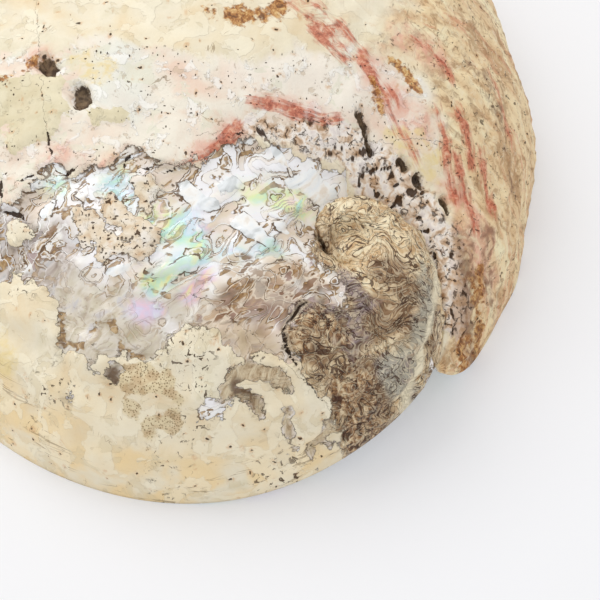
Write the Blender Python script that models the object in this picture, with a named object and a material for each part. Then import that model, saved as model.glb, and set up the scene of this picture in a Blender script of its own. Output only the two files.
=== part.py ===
"""An abalone shell, lying mouth down: a low spiral that opens so fast that its last turn is nearly all of it.

The outside is swept by upright sections about the coil axis, which stands on the apex. Each section runs
from the suture, where it meets the turn before, out to that turn's edge, and the last turn's edge is the
rim of the shell. Growth is clockwise seen from above. The inside is a bowl one wall thickness below.
+Y points to the front of the shell, +X to its right, +Z up. The rim and the ledge inside it rest on Z 0.
"""

import math

import bmesh
import bpy
import numpy as np
from mathutils import Vector, noise

MM = 0.001
TURN = 2 * math.pi

# Driving sizes
LENGTH = 190 * MM
WIDTH = 142 * MM
OVAL_TURN = math.radians(3)  # of the oval outline, anticlockwise from above
WALL = 3.8 * MM
SPIRE_WALL = 8 * MM  # under the spire and its suture
SPIRE_WALL_REACH = (25 * MM, 55 * MM)  # from the coil axis, where it is thickest and where it ends
THINNEST_WALL = 2.6 * MM
RIM_WIDTH = 3.0 * MM
LEDGE_WIDTH = 11.0 * MM

# The spiral
APEX = np.array((31 * MM, -55.5 * MM, 29 * MM))
EXPANSION = 0.33  # growth of the radius for each radian
LIP_AZIMUTH = math.radians(-45)  # where the outer lip ends, on the turn before
LIP_RADIUS = 21.7 * MM
CONE_SLOPE = 0.27  # how far the edge of a turn lies below the apex, as a share of its radius
LEAN_SLOPE = 0.54  # how much further it lies below on the side that the coil leans to
LEAN_AZIMUTH = math.radians(-30)
SPIRE_TURNS = 1.5  # turns before the last one, inside which is the nucleus
OVAL_BLEND = (math.radians(-20), math.radians(25))  # growth in which the edge leaves the spiral for the oval

# The mesh
STEPS_PER_TURN = 88
STEPS_ACROSS = 15
ROLLING_STEPS = 41
INSIDE_RINGS = 13
INSIDE_MIDDLE = 0.06  # size of the innermost ring
INSIDE_CROWDING = 1.4  # above 1, the rings crowd towards the rim
INSIDE_PASSES = 4
INSIDE_WAVES = 20  # that the inside may have around its rim; fewer nearer its middle

# The shape of a section, at growth angles in degrees from the lip. A section is a cubic Bezier curve, and
# its handles are shares of its width: out and up from the suture, and out and up from the edge.
SECTION_AT = (-225, -120, -45, 0, 45, 75, 105, 135, 180, 225, 270, 315, 360)
SUTURE_OUT = (0.25, 0.20, 0.25, 0.30, 0.28, 0.24, 0.21, 0.20, 0.20, 0.20, 0.18, 0.18, 0.25)
SUTURE_UP = (0.45, 0.55, 0.52, 0.42, 0.28, 0.26, 0.27, 0.28, 0.29, 0.31, 0.40, 0.60, 0.70)
EDGE_OUT = (0.05, 0.08, 0.09, 0.087, 0.03, 0.0, -0.016, -0.02, -0.024, -0.025, -0.016, 0.0, 0.05)
EDGE_UP = (0.45, 0.60, 0.62, 0.60, 0.60, 0.62, 0.60, 0.56, 0.47, 0.45, 0.68, 1.25, 1.40)

# Height of the rim, which stands off the ground beside the spire
RIM_AT = (0, 45, 78, 100, 325, 345, 360)
RIM_HEIGHT = (11 * MM, 4.5 * MM, 0.5 * MM, 0, 0, 4 * MM, 11 * MM)

# Waves of the rim in plan
RIM_WAVES = 11
RIM_WAVE_HEIGHT = 0.8 * MM
RIM_WAVE_START = math.radians(99)
RIM_WAVES_GROW = (math.radians(170), math.radians(240))
RIM_WAVES_FADE = (math.radians(285), math.radians(315))

# Width of the ledge inside the left and back rim, as a share of LEDGE_WIDTH
LEDGE_AT = (0, 30, 75, 135, 180, 215, 245, 360)
LEDGE_SHARE = (0.35, 0.55, 1.0, 1.0, 0.9, 0.5, 0.0, 0.0)

# Breathing holes: growth angle in degrees, share of the way from the coil axis to the rim, and radius
OPEN_HOLES = (
    (147, 0.80, 2.6 * MM),
    (160, 0.80, 3.0 * MM),
    (171, 0.80, 3.3 * MM),
    (181, 0.81, 3.5 * MM),
)
HOLE_COLLAR_HEIGHT = 1.1 * MM
HOLE_COLLAR_WIDTH = 5 * MM
HOLE_SIDES = 20
HOLE_FLARE = (0.7, 1.5)  # of the cutter at its lower and upper end, as shares of the radius
CUTTER_LENGTH = 60 * MM

# Older holes that the animal filled in: growth angle, share of the way out, and radius of the knob left
FILLED_HOLES = (
    (134, 0.80, 2.6 * MM),
    (120, 0.81, 2.4 * MM),
    (107, 0.81, 2.1 * MM),
    (95, 0.81, 1.8 * MM),
    (84, 0.80, 1.6 * MM),
)
KNOB_HEIGHT = 0.8 * MM
KNOB_SIDES = (0.5, 2.5)  # shares of the radius, between which its sides fall

# Hollows where boring animals broke the crust: place in plan from the apex, radius and depth
HOLLOWS = (
    (-56 * MM, 27 * MM, 3.6 * MM, 2.0 * MM),
    (-50 * MM, 20 * MM, 3.2 * MM, 1.8 * MM),
    (3 * MM, 20 * MM, 2.6 * MM, 1.4 * MM),
    (10 * MM, 17 * MM, 2.4 * MM, 1.2 * MM),
    (18 * MM, 10 * MM, 2.2 * MM, 1.0 * MM),
    (-10 * MM, -24 * MM, 2.4 * MM, 1.0 * MM),
)
HOLLOW_SIDES = (0.5, 1.25)  # shares of the radius, between which its sides rise

# Relief of the outside
LUMP_SIZE = 17 * MM
LUMP_HEIGHT = 0.8 * MM
RIPPLE_HEIGHT = 0.45 * MM
RIPPLES = 9  # growth ripples between the suture and the rim
RIPPLE_SWAY = 3  # how far the lumps bend the ripples
RIPPLE_RISE = (0.3, 0.7)  # shares of the way from the suture, where they begin and where they are full
WORN_DEPTH = 0.9 * MM
WORN_MIDDLE = -6 * MM  # of the worn band, to the front of the apex
WORN_HALF_WIDTH = 22 * MM
WORN_TAPER = 0.2  # loss of half width for each length to the left
WORN_STEP = (0.8, 1.05)  # shares of the half width, over which the crust's edge slopes
WORN_START = (0, 14 * MM)  # to the left of the apex
WORN_END = (66 * MM, 84 * MM)
SUTURE_FADE = (0, 0.12)  # relief dies out at the suture, at the rim and on the nucleus
RIM_FADE = (0.9, 1)
NUCLEUS_FADE = (2 * MM, 22 * MM)

SHELL_COLOUR = (0.78, 0.70, 0.56, 1)


def smoothstep(low, high, x):
    """Rises smoothly from 0 to 1 between low and high."""
    t = np.clip((x - low) / (high - low), 0, 1)
    return t * t * (3 - 2 * t)


def keyed(degrees, keys, values):
    """A smooth curve through the values at the keys, flat where they turn back."""
    keys, values = np.array(keys, float), np.array(values, float)
    chords = np.diff(values) / np.diff(keys)
    slopes = np.concatenate([chords[:1], (chords[:-1] + chords[1:]) / 2, chords[-1:]])
    slopes[1:-1][chords[:-1] * chords[1:] <= 0] = 0
    i = np.clip(np.searchsorted(keys, degrees, side="right") - 1, 0, len(keys) - 2)
    span = keys[i + 1] - keys[i]
    t = (degrees - keys[i]) / span
    held = values[i] * (1 + 2 * t) * (1 - t) ** 2 + values[i + 1] * t**2 * (3 - 2 * t)
    return held + span * (slopes[i] * t * (1 - t) ** 2 + slopes[i + 1] * t**2 * (t - 1))


def oval_radius(azimuth):
    """Distance in plan from the coil axis to the oval outline of the whole shell."""
    a, b = WIDTH / 2, LENGTH / 2
    dx, dy = np.cos(azimuth - OVAL_TURN), np.sin(azimuth - OVAL_TURN)
    x = APEX[0] * math.cos(OVAL_TURN) + APEX[1] * math.sin(OVAL_TURN)
    y = APEX[1] * math.cos(OVAL_TURN) - APEX[0] * math.sin(OVAL_TURN)
    square = (dx / a) ** 2 + (dy / b) ** 2
    half_linear = x * dx / a**2 + y * dy / b**2
    constant = (x / a) ** 2 + (y / b) ** 2 - 1
    return (-half_linear + np.sqrt(half_linear**2 - square * constant)) / square


def edge_radius(growth):
    """Radius of a turn's outer edge: a log spiral up to the lip, and the oval outline after it."""
    spiral = LIP_RADIUS * np.exp(EXPANSION * growth)
    wavy = smoothstep(*RIM_WAVES_GROW, growth) * (1 - smoothstep(*RIM_WAVES_FADE, growth))
    wave = RIM_WAVE_HEIGHT * np.sin(RIM_WAVES * growth + RIM_WAVE_START) * wavy
    oval = oval_radius(LIP_AZIMUTH - growth) + wave
    return spiral + (oval - spiral) * smoothstep(*OVAL_BLEND, growth)


def spire_height(growth):
    """Height of a spire turn's edge, on a cone that leans to the back and right."""
    slope = CONE_SLOPE + LEAN_SLOPE * np.cos(LIP_AZIMUTH - growth - LEAN_AZIMUTH)
    return APEX[2] - slope * edge_radius(growth)


def edge_height(growth):
    last_turn = keyed(np.degrees(np.clip(growth, 0, TURN)), RIM_AT, RIM_HEIGHT)
    return np.where(growth < 0, spire_height(growth), last_turn)


def sections(growth, across):
    """Radius and height of section points: a row for each growth angle, a column for each share across."""
    growth = np.asarray(growth, float)[:, None]
    t = np.asarray(across, float)[None, :]
    degrees = np.degrees(np.clip(growth, math.radians(SECTION_AT[0]), TURN))
    start_r, end_r = edge_radius(growth - TURN), edge_radius(growth)
    start_z, end_z = spire_height(growth - TURN), edge_height(growth)
    width = end_r - start_r
    rise_r = start_r + keyed(degrees, SECTION_AT, SUTURE_OUT) * width
    rise_z = start_z + keyed(degrees, SECTION_AT, SUTURE_UP) * width
    fall_r = end_r + keyed(degrees, SECTION_AT, EDGE_OUT) * width
    fall_z = end_z + keyed(degrees, SECTION_AT, EDGE_UP) * width
    b0, b1, b2, b3 = (1 - t) ** 3, 3 * t * (1 - t) ** 2, 3 * t**2 * (1 - t), t**3
    r = b0 * start_r + b1 * rise_r + b2 * fall_r + b3 * end_r
    z = b0 * start_z + b1 * rise_z + b2 * fall_z + b3 * end_z
    return r, z


def placed(growth, r, z):
    """Points in space, from growth angle, radius about the coil axis, and height."""
    azimuth = LIP_AZIMUTH - growth
    return np.stack([APEX[0] + r * np.cos(azimuth), APEX[1] + r * np.sin(azimuth), z], axis=-1)


def hole_place(degrees, out):
    """Where a breathing hole goes through, in plan."""
    growth = math.radians(degrees)
    return placed(growth, out * edge_radius(np.array(growth)), np.array(0.0))


def worn_band(x, y):
    """How far the crust is worn off, from 0 to 1, along the crest that runs left from the spire."""
    along = APEX[0] - x
    half_width = WORN_HALF_WIDTH - WORN_TAPER * along
    band = 1 - smoothstep(*WORN_STEP, np.abs(y - APEX[1] - WORN_MIDDLE) / half_width)
    return band * smoothstep(*WORN_START, along) * (1 - smoothstep(*WORN_END, along))


def relief(points, growth, across, radius):
    """Height above the smooth outside: lumps, growth ripples, the worn band, hollows and hole collars."""
    x, y = points[..., 0], points[..., 1]
    flat = points.reshape(-1, 3) / LUMP_SIZE
    lump = np.array([noise.fractal(Vector(p), 1.0, 2.0, 3) for p in flat]).reshape(x.shape)
    ripple = np.sin(TURN * RIPPLES * across + RIPPLE_SWAY * lump)
    ripple *= smoothstep(*RIPPLE_RISE, across) * (growth > 0)
    height = LUMP_HEIGHT * lump + RIPPLE_HEIGHT * ripple - WORN_DEPTH * worn_band(x, y)
    for hollow_x, hollow_y, size, depth in HOLLOWS:
        gap = np.hypot(x - APEX[0] - hollow_x, y - APEX[1] - hollow_y) / size
        height = height - depth * (1 - smoothstep(*HOLLOW_SIDES, gap))
    for degrees, out, size in OPEN_HOLES:
        hole = hole_place(degrees, out)
        gap = np.hypot(x - hole[0], y - hole[1])
        height = height + HOLE_COLLAR_HEIGHT * (1 - smoothstep(size, size + HOLE_COLLAR_WIDTH, gap))
    for degrees, out, size in FILLED_HOLES:
        knob = hole_place(degrees, out)
        gap = np.hypot(x - knob[0], y - knob[1])
        height = height + KNOB_HEIGHT * (1 - smoothstep(*KNOB_SIDES, gap / size))
    fade = smoothstep(*SUTURE_FADE, across) * (1 - smoothstep(*RIM_FADE, across))
    return height * fade * smoothstep(*NUCLEUS_FADE, radius)


def outside_points():
    """Grid of points over the outside: rows follow the growth, columns run from suture to edge."""
    first = -round(SPIRE_TURNS * STEPS_PER_TURN)
    growth = np.arange(first, STEPS_PER_TURN) * TURN / STEPS_PER_TURN
    across = np.linspace(0, 1, STEPS_ACROSS + 1)
    r, z = sections(growth, across)
    points = placed(growth[:, None], r, z)
    normals = np.cross(np.gradient(points, axis=0), np.gradient(points, axis=1))
    normals /= np.maximum(np.linalg.norm(normals, axis=-1, keepdims=True), 1e-12)
    normals *= np.sign(normals[..., 2:3].mean())
    return points + normals * relief(points, growth[:, None], across[None, :], r)[..., None]


def add_outside(bm):
    """Adds the outside, and returns the rim's vertices in the order of growth."""
    points = outside_points()
    spire = len(points) - STEPS_PER_TURN
    rows = []
    for i, line in enumerate(points):
        row = [bm.verts.new(p) for p in line[1:]]
        is_on_earlier_turn = i >= STEPS_PER_TURN
        row.insert(0, rows[i - STEPS_PER_TURN][-1] if is_on_earlier_turn else bm.verts.new(line[0]))
        rows.append(row)
    for row, after in zip(rows, rows[1:]):
        for j in range(STEPS_ACROSS):
            bm.faces.new((row[j], row[j + 1], after[j + 1], after[j]))
    lip_end = rows[spire][-1]
    for near, far in zip(rows[-1][1:], rows[-1][2:]):
        bm.faces.new((near, far, lip_end))
    bm.faces.new((rows[-1][0], rows[-1][1], lip_end))
    nucleus = [row[0] for row in rows[:STEPS_PER_TURN]] + rows[0][:0:-1]
    add_fan(bm, nucleus, turned=True)
    return [row[-1] for row in rows[spire:]]


def add_fan(bm, loop, turned=False):
    """Closes a loop of vertices with triangles to a point in its middle."""
    middle = bm.verts.new(sum((v.co for v in loop), Vector()) / len(loop))
    for a, b in zip(loop, loop[1:] + loop[:1]):
        bm.faces.new((b, a, middle) if turned else (a, b, middle))


def rolled_under(growth, radii, ball):
    """Height of the lower side of the outside for a ball of the given radius that rolls along it."""
    across = np.linspace(0, 1, ROLLING_STEPS)
    turns = [sections(growth - TURN * n, across) for n in range(3)]
    outer_r = np.concatenate([r for r, _ in turns], axis=1)[:, None, :]
    outer_z = np.concatenate([z for _, z in turns], axis=1)[:, None, :]
    reach = ball**2 - (outer_r - radii[:, :, None]) ** 2
    return np.where(reach > 0, outer_z - np.sqrt(np.maximum(reach, 0)), np.inf).min(axis=2)


def inside_points():
    """Grid of points over the inside: a row for each growth angle, columns from the rim to the middle."""
    growth = np.arange(STEPS_PER_TURN) * TURN / STEPS_PER_TURN
    rim_r, rim_z = edge_radius(growth)[:, None], edge_height(growth)[:, None]
    ledge = LEDGE_WIDTH * keyed(np.degrees(growth), LEDGE_AT, LEDGE_SHARE)[:, None]
    ledge = np.maximum(ledge, RIM_WIDTH + 1 * MM)
    shares = 1 - (1 - INSIDE_MIDDLE) * np.linspace(0, 1, INSIDE_RINGS)[None, :] ** INSIDE_CROWDING
    inner_r = (rim_r - ledge) * shares
    wall = WALL + (SPIRE_WALL - WALL) * (1 - smoothstep(*SPIRE_WALL_REACH, inner_r))[:, :, None]
    height = np.maximum(rolled_under(growth, inner_r, wall), rim_z)
    ceiling = np.maximum(rolled_under(growth, inner_r, THINNEST_WALL), rim_z)
    for _ in range(INSIDE_PASSES):
        around = (np.roll(height, 1, axis=0) + np.roll(height, -1, axis=0)) / 2
        height[:, 1:-1] = (height[:, :-2] + height[:, 2:] + 2 * around[:, 1:-1]) / 4
        height[:, -1] = (height[:, -2] + around[:, -1]) / 2
    waves = np.fft.rfft(height, axis=0)
    number = np.arange(len(waves))[:, None]
    waves /= 1 + (number / (INSIDE_WAVES * shares)) ** 4
    height = np.clip(np.fft.irfft(waves, len(height), axis=0), rim_z, ceiling)
    height[:, :1] = rim_z
    r = np.concatenate([rim_r - RIM_WIDTH, inner_r], axis=1)
    z = np.concatenate([rim_z, height], axis=1)
    return placed(growth[:, None], r, z)


def add_inside(bm, rim):
    """Adds the inside, joined to the rim's vertices."""
    rings = [rim] + [[bm.verts.new(p) for p in ring] for ring in inside_points().transpose(1, 0, 2)]
    for ring, inner in zip(rings, rings[1:]):
        for i in range(STEPS_PER_TURN):
            after = (i + 1) % STEPS_PER_TURN
            bm.faces.new((ring[i], inner[i], inner[after], ring[after]))
    add_fan(bm, rings[-1])


def shell_body(collection, material):
    bm = bmesh.new()
    add_inside(bm, add_outside(bm))
    bmesh.ops.recalc_face_normals(bm, faces=bm.faces)
    mesh = bpy.data.meshes.new("shell")
    bm.to_mesh(mesh)
    bm.free()
    mesh.materials.append(material)
    mesh.shade_smooth()
    shell = bpy.data.objects.new("shell", mesh)
    collection.objects.link(shell)
    return shell


def drill(shell, cutters):
    """Cuts the breathing holes, each a little wider outside than inside."""
    for number, (degrees, out, radius) in enumerate(OPEN_HOLES, 1):
        bpy.ops.mesh.primitive_cone_add(
            vertices=HOLE_SIDES,
            radius1=HOLE_FLARE[0] * radius,
            radius2=HOLE_FLARE[1] * radius,
            depth=CUTTER_LENGTH,
        )
        cutter = bpy.context.object
        cutter.name = f"hole_cutter_{number}"
        cutter.location = hole_place(degrees, out)
        cutter.location.z = CUTTER_LENGTH / 2
        cutter.hide_render = True
        cutter.display_type = "WIRE"
        for owner in list(cutter.users_collection):
            owner.objects.unlink(cutter)
        cutters.objects.link(cutter)
        cut = shell.modifiers.new(f"breathing_hole_{number}", "BOOLEAN")
        cut.operation = "DIFFERENCE"
        cut.object = cutter


def crust_material():
    material = bpy.data.materials.new("weathered_shell")
    material.use_nodes = True
    surface = material.node_tree.nodes["Principled BSDF"]
    surface.inputs["Base Color"].default_value = SHELL_COLOUR
    surface.inputs["Roughness"].default_value = 0.5
    surface.inputs["Metallic"].default_value = 0.0
    return material


def new_collection(name):
    collection = bpy.data.collections.new(name)
    bpy.context.scene.collection.children.link(collection)
    return collection


def main():
    for old in list(bpy.data.objects):
        bpy.data.objects.remove(old)
    shell = shell_body(new_collection("abalone_shell"), crust_material())
    drill(shell, new_collection("cutters"))


main()
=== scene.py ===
# %% [markdown]
# # A weathered abalone shell
#
# This lesson finishes one large, old abalone shell that lies mouth down. Its form is already packed as a
# plain solid. Here the same form is built again with a much finer mesh, and its surface gets the things
# that make such a shell worth looking at: a chalky crust full of small bore holes, a band worn down to
# mother of pearl, a flaky brown spire and red growth streaks.

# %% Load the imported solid
import math

import bmesh
import bpy
import numpy as np
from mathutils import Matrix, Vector, kdtree, noise


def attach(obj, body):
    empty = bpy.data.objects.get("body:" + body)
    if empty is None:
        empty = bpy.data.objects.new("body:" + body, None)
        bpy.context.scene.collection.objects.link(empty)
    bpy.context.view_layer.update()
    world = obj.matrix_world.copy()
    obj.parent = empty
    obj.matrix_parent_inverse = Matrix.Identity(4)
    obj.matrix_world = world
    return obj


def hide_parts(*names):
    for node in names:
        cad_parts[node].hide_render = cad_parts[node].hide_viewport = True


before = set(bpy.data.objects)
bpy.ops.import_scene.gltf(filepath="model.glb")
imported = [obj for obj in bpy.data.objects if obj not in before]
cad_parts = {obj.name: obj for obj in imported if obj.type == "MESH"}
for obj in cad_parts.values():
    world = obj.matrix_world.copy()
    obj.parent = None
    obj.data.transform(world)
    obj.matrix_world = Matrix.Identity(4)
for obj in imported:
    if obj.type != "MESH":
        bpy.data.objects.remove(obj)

MM = 0.001
TURN = 2 * math.pi
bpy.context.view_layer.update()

# %% [markdown]
# ## Camera, floor and light
#
# The camera stands behind the spire and looks down at a steep angle. The spire's tip, the apex, is the one
# point from which everything on this shell is measured, so the camera aims at a place given from it too.
# The floor is a large pale plane. One big soft light from the upper left, and a pale sky all round, give
# the gentle shadow of a shell on a white table. A sky alone would give no direction, and a sun would give
# hard shadows.

# %% The camera
APEX = np.array((31, -55.5, 29)) * MM
AIM_FROM_APEX = Vector((-9.4, -5.6, -10)) * MM
CAMERA_ELEVATION = math.radians(50)
CAMERA_DISTANCE = 0.3906
CAMERA_ANGLE = math.radians(16.6)


def add_camera():
    lens = bpy.data.cameras.new("camera")
    lens.sensor_fit = "HORIZONTAL"
    lens.angle = CAMERA_ANGLE
    camera = bpy.data.objects.new("camera", lens)
    bpy.context.scene.collection.objects.link(camera)
    back = Vector((0, -math.cos(CAMERA_ELEVATION), math.sin(CAMERA_ELEVATION)))
    camera.location = Vector(APEX) + AIM_FROM_APEX + back * CAMERA_DISTANCE
    camera.rotation_euler = back.to_track_quat("Z", "Y").to_euler()
    bpy.context.scene.camera = camera
    return camera


camera = add_camera()
print("camera height in mm:", round(camera.location.z / MM))

# %% Small helpers for building materials


def paint(red, green, blue):
    """A colour as it looks on a screen, from 0 to 255, in the linear values that a shader works with."""
    def linear(value):
        value /= 255
        return value / 12.92 if value <= 0.04045 else ((value + 0.055) / 1.055) ** 2.4
    return linear(red), linear(green), linear(blue), 1.0


def put(tree, kind, inputs=None, **settings):
    """Adds a node; an input is either a plain value or another node's output, which is then linked."""
    node = tree.nodes.new(kind)
    for name, value in settings.items():
        setattr(node, name, value)
    for name, value in (inputs or {}).items():
        if isinstance(value, bpy.types.NodeSocket):
            tree.links.new(value, node.inputs[name])
        else:
            node.inputs[name].default_value = value
    return node


def calc(tree, operation, a, b=0.0, c=0.0):
    return put(tree, "ShaderNodeMath", {0: a, 1: b, 2: c}, operation=operation).outputs[0]


def plus(tree, a, b):
    return calc(tree, "ADD", a, b)


def times(tree, a, b):
    return calc(tree, "MULTIPLY", a, b)


def times_plus(tree, a, b, c):
    """a times b, plus c."""
    return calc(tree, "MULTIPLY_ADD", a, b, c)


def over(tree, a, b):
    return calc(tree, "DIVIDE", a, b)


def minus(tree, a, b):
    return calc(tree, "SUBTRACT", a, b)


def larger(tree, a, b):
    return calc(tree, "MAXIMUM", a, b)


def along_arrow(tree, operation, a, b):
    """A sum or a product of arrows, axis by axis."""
    return put(tree, "ShaderNodeVectorMath", {0: a, 1: b}, operation=operation).outputs[0]


def stretched(tree, where, factor):
    return put(tree, "ShaderNodeVectorMath", {0: where, "Scale": factor}, operation="SCALE").outputs[0]


def jostled(tree, where, scale, detail, amount):
    """The places, each moved a little by noise, so that patterns made from them are irregular."""
    push = put(tree, "ShaderNodeTexNoise", {"Vector": where, "Scale": scale, "Detail": detail})
    return along_arrow(tree, "ADD", where, stretched(tree, push.outputs["Color"], amount))


def choose(tree, share, a, b):
    """Mixes number a with number b, by the share of b."""
    return put(tree, "ShaderNodeMix", {0: share, 2: a, 3: b}).outputs[0]


def blend(tree, share, a, b, mode="MIX"):
    """Mixes colour a with colour b, by the share of b."""
    node = put(tree, "ShaderNodeMix", {0: share, 6: a, 7: b}, data_type="RGBA", blend_type=mode)
    return node.outputs[2]


def between(tree, value, low, high, start=0.0, end=1.0):
    """Goes smoothly from start to end while the value goes from low to high."""
    inputs = {"Value": value, "From Min": low, "From Max": high, "To Min": start, "To Max": end}
    return put(tree, "ShaderNodeMapRange", inputs, interpolation_type="SMOOTHSTEP").outputs["Result"]


def clouds(tree, where, size, detail=3.0, twist=0.0, roughness=0.5):
    """Cloudy noise from 0 to 1, with clouds of a size in millimetres."""
    inputs = {"Vector": where, "Scale": 1 / size, "Detail": detail}
    inputs |= {"Distortion": twist, "Roughness": roughness}
    return put(tree, "ShaderNodeTexNoise", inputs).outputs["Fac"]


def ramp(tree, value, stops, interpolation="LINEAR"):
    """Turns a number into a colour; each stop is a row of a value, red, green and blue."""
    node = put(tree, "ShaderNodeValToRGB", {"Fac": value})
    node.color_ramp.interpolation = interpolation
    elements = node.color_ramp.elements
    while len(elements) < len(stops):
        elements.new(1.0)
    for element, (position, *colour) in zip(elements, stops):
        element.position = position
        element.color = paint(*colour)
    return node.outputs["Color"]


def field(tree, name):
    """A number that the mesh carries at each of its points."""
    return put(tree, "ShaderNodeAttribute", attribute_name=name).outputs["Fac"]


def places(tree):
    """Where a point is, in millimetres."""
    return stretched(tree, put(tree, "ShaderNodeTexCoord").outputs["Object"], 1 / MM)


def new_material(name):
    material = bpy.data.materials.new(name)
    material.use_nodes = True
    tree = material.node_tree
    return material, tree, tree.nodes["Principled BSDF"]


print("a middle grey on the screen, for a shader:", round(paint(128, 128, 128)[0], 3))

# %% The floor, the soft light and the sky
FLOOR_SIZE = 6.0
FLOOR_COLOUR = paint(245, 245, 247)
FLOOR_GLOW = 0.36  # how far the floor's look is lifted to plain white
FLOOR_ROUGHNESS = 0.8
DULL_SHEEN = 0.2  # of paper and of chalk
SOFTBOX_PLACE = Vector((-0.50, 0.50, 0.95))
SOFTBOX_SIZE = 0.9
SOFTBOX_POWER = 6.4
SKY_STRENGTH = 0.76


def add_floor():
    bpy.ops.mesh.primitive_plane_add(size=FLOOR_SIZE)
    floor = bpy.context.object
    floor.name = "floor"
    material, tree, surface = new_material("floor_paper")
    surface.inputs["Base Color"].default_value = FLOOR_COLOUR
    surface.inputs["Roughness"].default_value = FLOOR_ROUGHNESS
    surface.inputs["Specular IOR Level"].default_value = DULL_SHEEN
    white = put(tree, "ShaderNodeEmission", {"Color": FLOOR_COLOUR, "Strength": 1.0})
    rays = put(tree, "ShaderNodeLightPath").outputs
    mirrored = plus(tree, rays["Is Glossy Ray"], rays["Is Transmission Ray"])
    seen = plus(tree, rays["Is Camera Ray"], mirrored)
    share = times(tree, calc(tree, "MINIMUM", seen, 1.0), FLOOR_GLOW)
    mixed = put(tree, "ShaderNodeMixShader", {0: share, 1: surface.outputs[0], 2: white.outputs[0]})
    tree.links.new(mixed.outputs[0], tree.nodes["Material Output"].inputs["Surface"])
    floor.data.materials.append(material)


def add_softbox():
    light = bpy.data.lights.new("softbox", "AREA")
    light.shape = "SQUARE"
    light.size = SOFTBOX_SIZE
    light.energy = SOFTBOX_POWER
    softbox = bpy.data.objects.new("softbox", light)
    softbox.location = SOFTBOX_PLACE
    softbox.rotation_euler = SOFTBOX_PLACE.to_track_quat("Z", "Y").to_euler()
    bpy.context.scene.collection.objects.link(softbox)


def set_sky():
    world = bpy.data.worlds.new("pale sky")
    world.use_nodes = True
    sky = world.node_tree.nodes["Background"]
    sky.inputs["Color"].default_value = (1, 1, 1, 1)
    sky.inputs["Strength"].default_value = SKY_STRENGTH
    bpy.context.scene.world = world


add_floor()
add_softbox()
set_sky()
bpy.context.scene.view_settings.view_transform = "Standard"
print("one softbox of", SOFTBOX_SIZE, "m and a sky of strength", SKY_STRENGTH)

# %% [markdown]
# ## The spiral
#
# A snail adds shell at its lip only, a little wider each time, so its edge follows a logarithmic spiral. An
# abalone opens so fast that the last turn is nearly the whole shell. One could sculpt this, but a formula
# keeps the growth lines true: an upright section, swept about the coil axis, from the seam with the turn
# before (the suture) out to the edge. The last turn's edge is the rim, which is an oval.

# %% Sizes of the shell
LENGTH = 190 * MM
WIDTH = 142 * MM
OVAL_TURN = math.radians(3)  # of the oval outline, anticlockwise from above
WALL = 3.8 * MM
SPIRE_WALL = 8 * MM  # under the spire
SPIRE_WALL_REACH = (25 * MM, 55 * MM)  # from the coil axis, where it is thickest and where it ends
THINNEST_WALL = 2.6 * MM
RIM_WIDTH = 3.0 * MM
LEDGE_WIDTH = 11.0 * MM
EXPANSION = 0.33  # growth of the radius for each radian
LIP_AZIMUTH = math.radians(-45)  # where the lip ends, on the turn before
LIP_RADIUS = 21.7 * MM
CONE_SLOPE = 0.27
LEAN_SLOPE = 0.54  # how much steeper the cone is on the side that the coil leans to
LEAN_AZIMUTH = math.radians(-30)
SPIRE_TURNS = 1.5  # turns before the last one
OVAL_BLEND = (math.radians(-20), math.radians(25))  # growth in which the edge leaves the spiral for the oval

# Each row: growth angle in degrees from the lip, then the section's two handles as shares of its width:
# out and up from the suture, out and up from the edge
SECTION_HANDLES = (
    (-225, 0.25, 0.45, 0.05, 0.45),
    (-120, 0.20, 0.55, 0.08, 0.60),
    (-45, 0.25, 0.52, 0.09, 0.62),
    (0, 0.30, 0.42, 0.087, 0.60),
    (45, 0.28, 0.28, 0.03, 0.60),
    (75, 0.24, 0.26, 0.0, 0.62),
    (105, 0.21, 0.27, -0.016, 0.60),
    (135, 0.20, 0.28, -0.02, 0.56),
    (180, 0.20, 0.29, -0.024, 0.47),
    (225, 0.20, 0.31, -0.025, 0.45),
    (270, 0.18, 0.40, -0.016, 0.68),
    (315, 0.18, 0.60, 0.0, 1.25),
    (360, 0.25, 0.70, 0.05, 1.40),
)
RIM_HEIGHT = ((0, 11), (45, 4.5), (78, 0.5), (100, 0), (325, 0), (345, 4), (360, 11))  # in mm
# Each row: growth angle in degrees, and how wide the ledge inside the rim is, as a share of LEDGE_WIDTH
LEDGE_SHARE = ((0, 0.35), (30, 0.55), (75, 1), (135, 1), (180, 0.9), (215, 0.5), (245, 0), (360, 0))
RIM_WAVES = 11
RIM_WAVE_HEIGHT = 0.8 * MM
RIM_WAVE_START = math.radians(99)
RIM_WAVES_GROW = (math.radians(170), math.radians(240))
RIM_WAVES_FADE = (math.radians(285), math.radians(315))
print("sections given at", len(SECTION_HANDLES), "growth angles")

# %% Smooth steps and smooth curves through given values


def smoothstep(low, high, x):
    t = np.clip((x - low) / (high - low), 0, 1)
    return t * t * (3 - 2 * t)


def keyed(degrees, rows, column=1):
    """A smooth curve through one column of a table, flat where it turns back."""
    table = np.array(rows, float)
    keys, values = table[:, 0], table[:, column]
    chords = np.diff(values) / np.diff(keys)
    slopes = np.concatenate([chords[:1], (chords[:-1] + chords[1:]) / 2, chords[-1:]])
    slopes[1:-1][chords[:-1] * chords[1:] <= 0] = 0
    i = np.clip(np.searchsorted(keys, degrees, side="right") - 1, 0, len(keys) - 2)
    span = keys[i + 1] - keys[i]
    t = (degrees - keys[i]) / span
    held = values[i] * (1 + 2 * t) * (1 - t) ** 2 + values[i + 1] * t**2 * (3 - 2 * t)
    return held + span * (slopes[i] * t * (1 - t) ** 2 + slopes[i + 1] * t**2 * (t - 1))


print("a quarter of the way along, a smooth step has climbed to", float(smoothstep(0, 1, 0.25)))

# %% The edge of each turn


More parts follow.
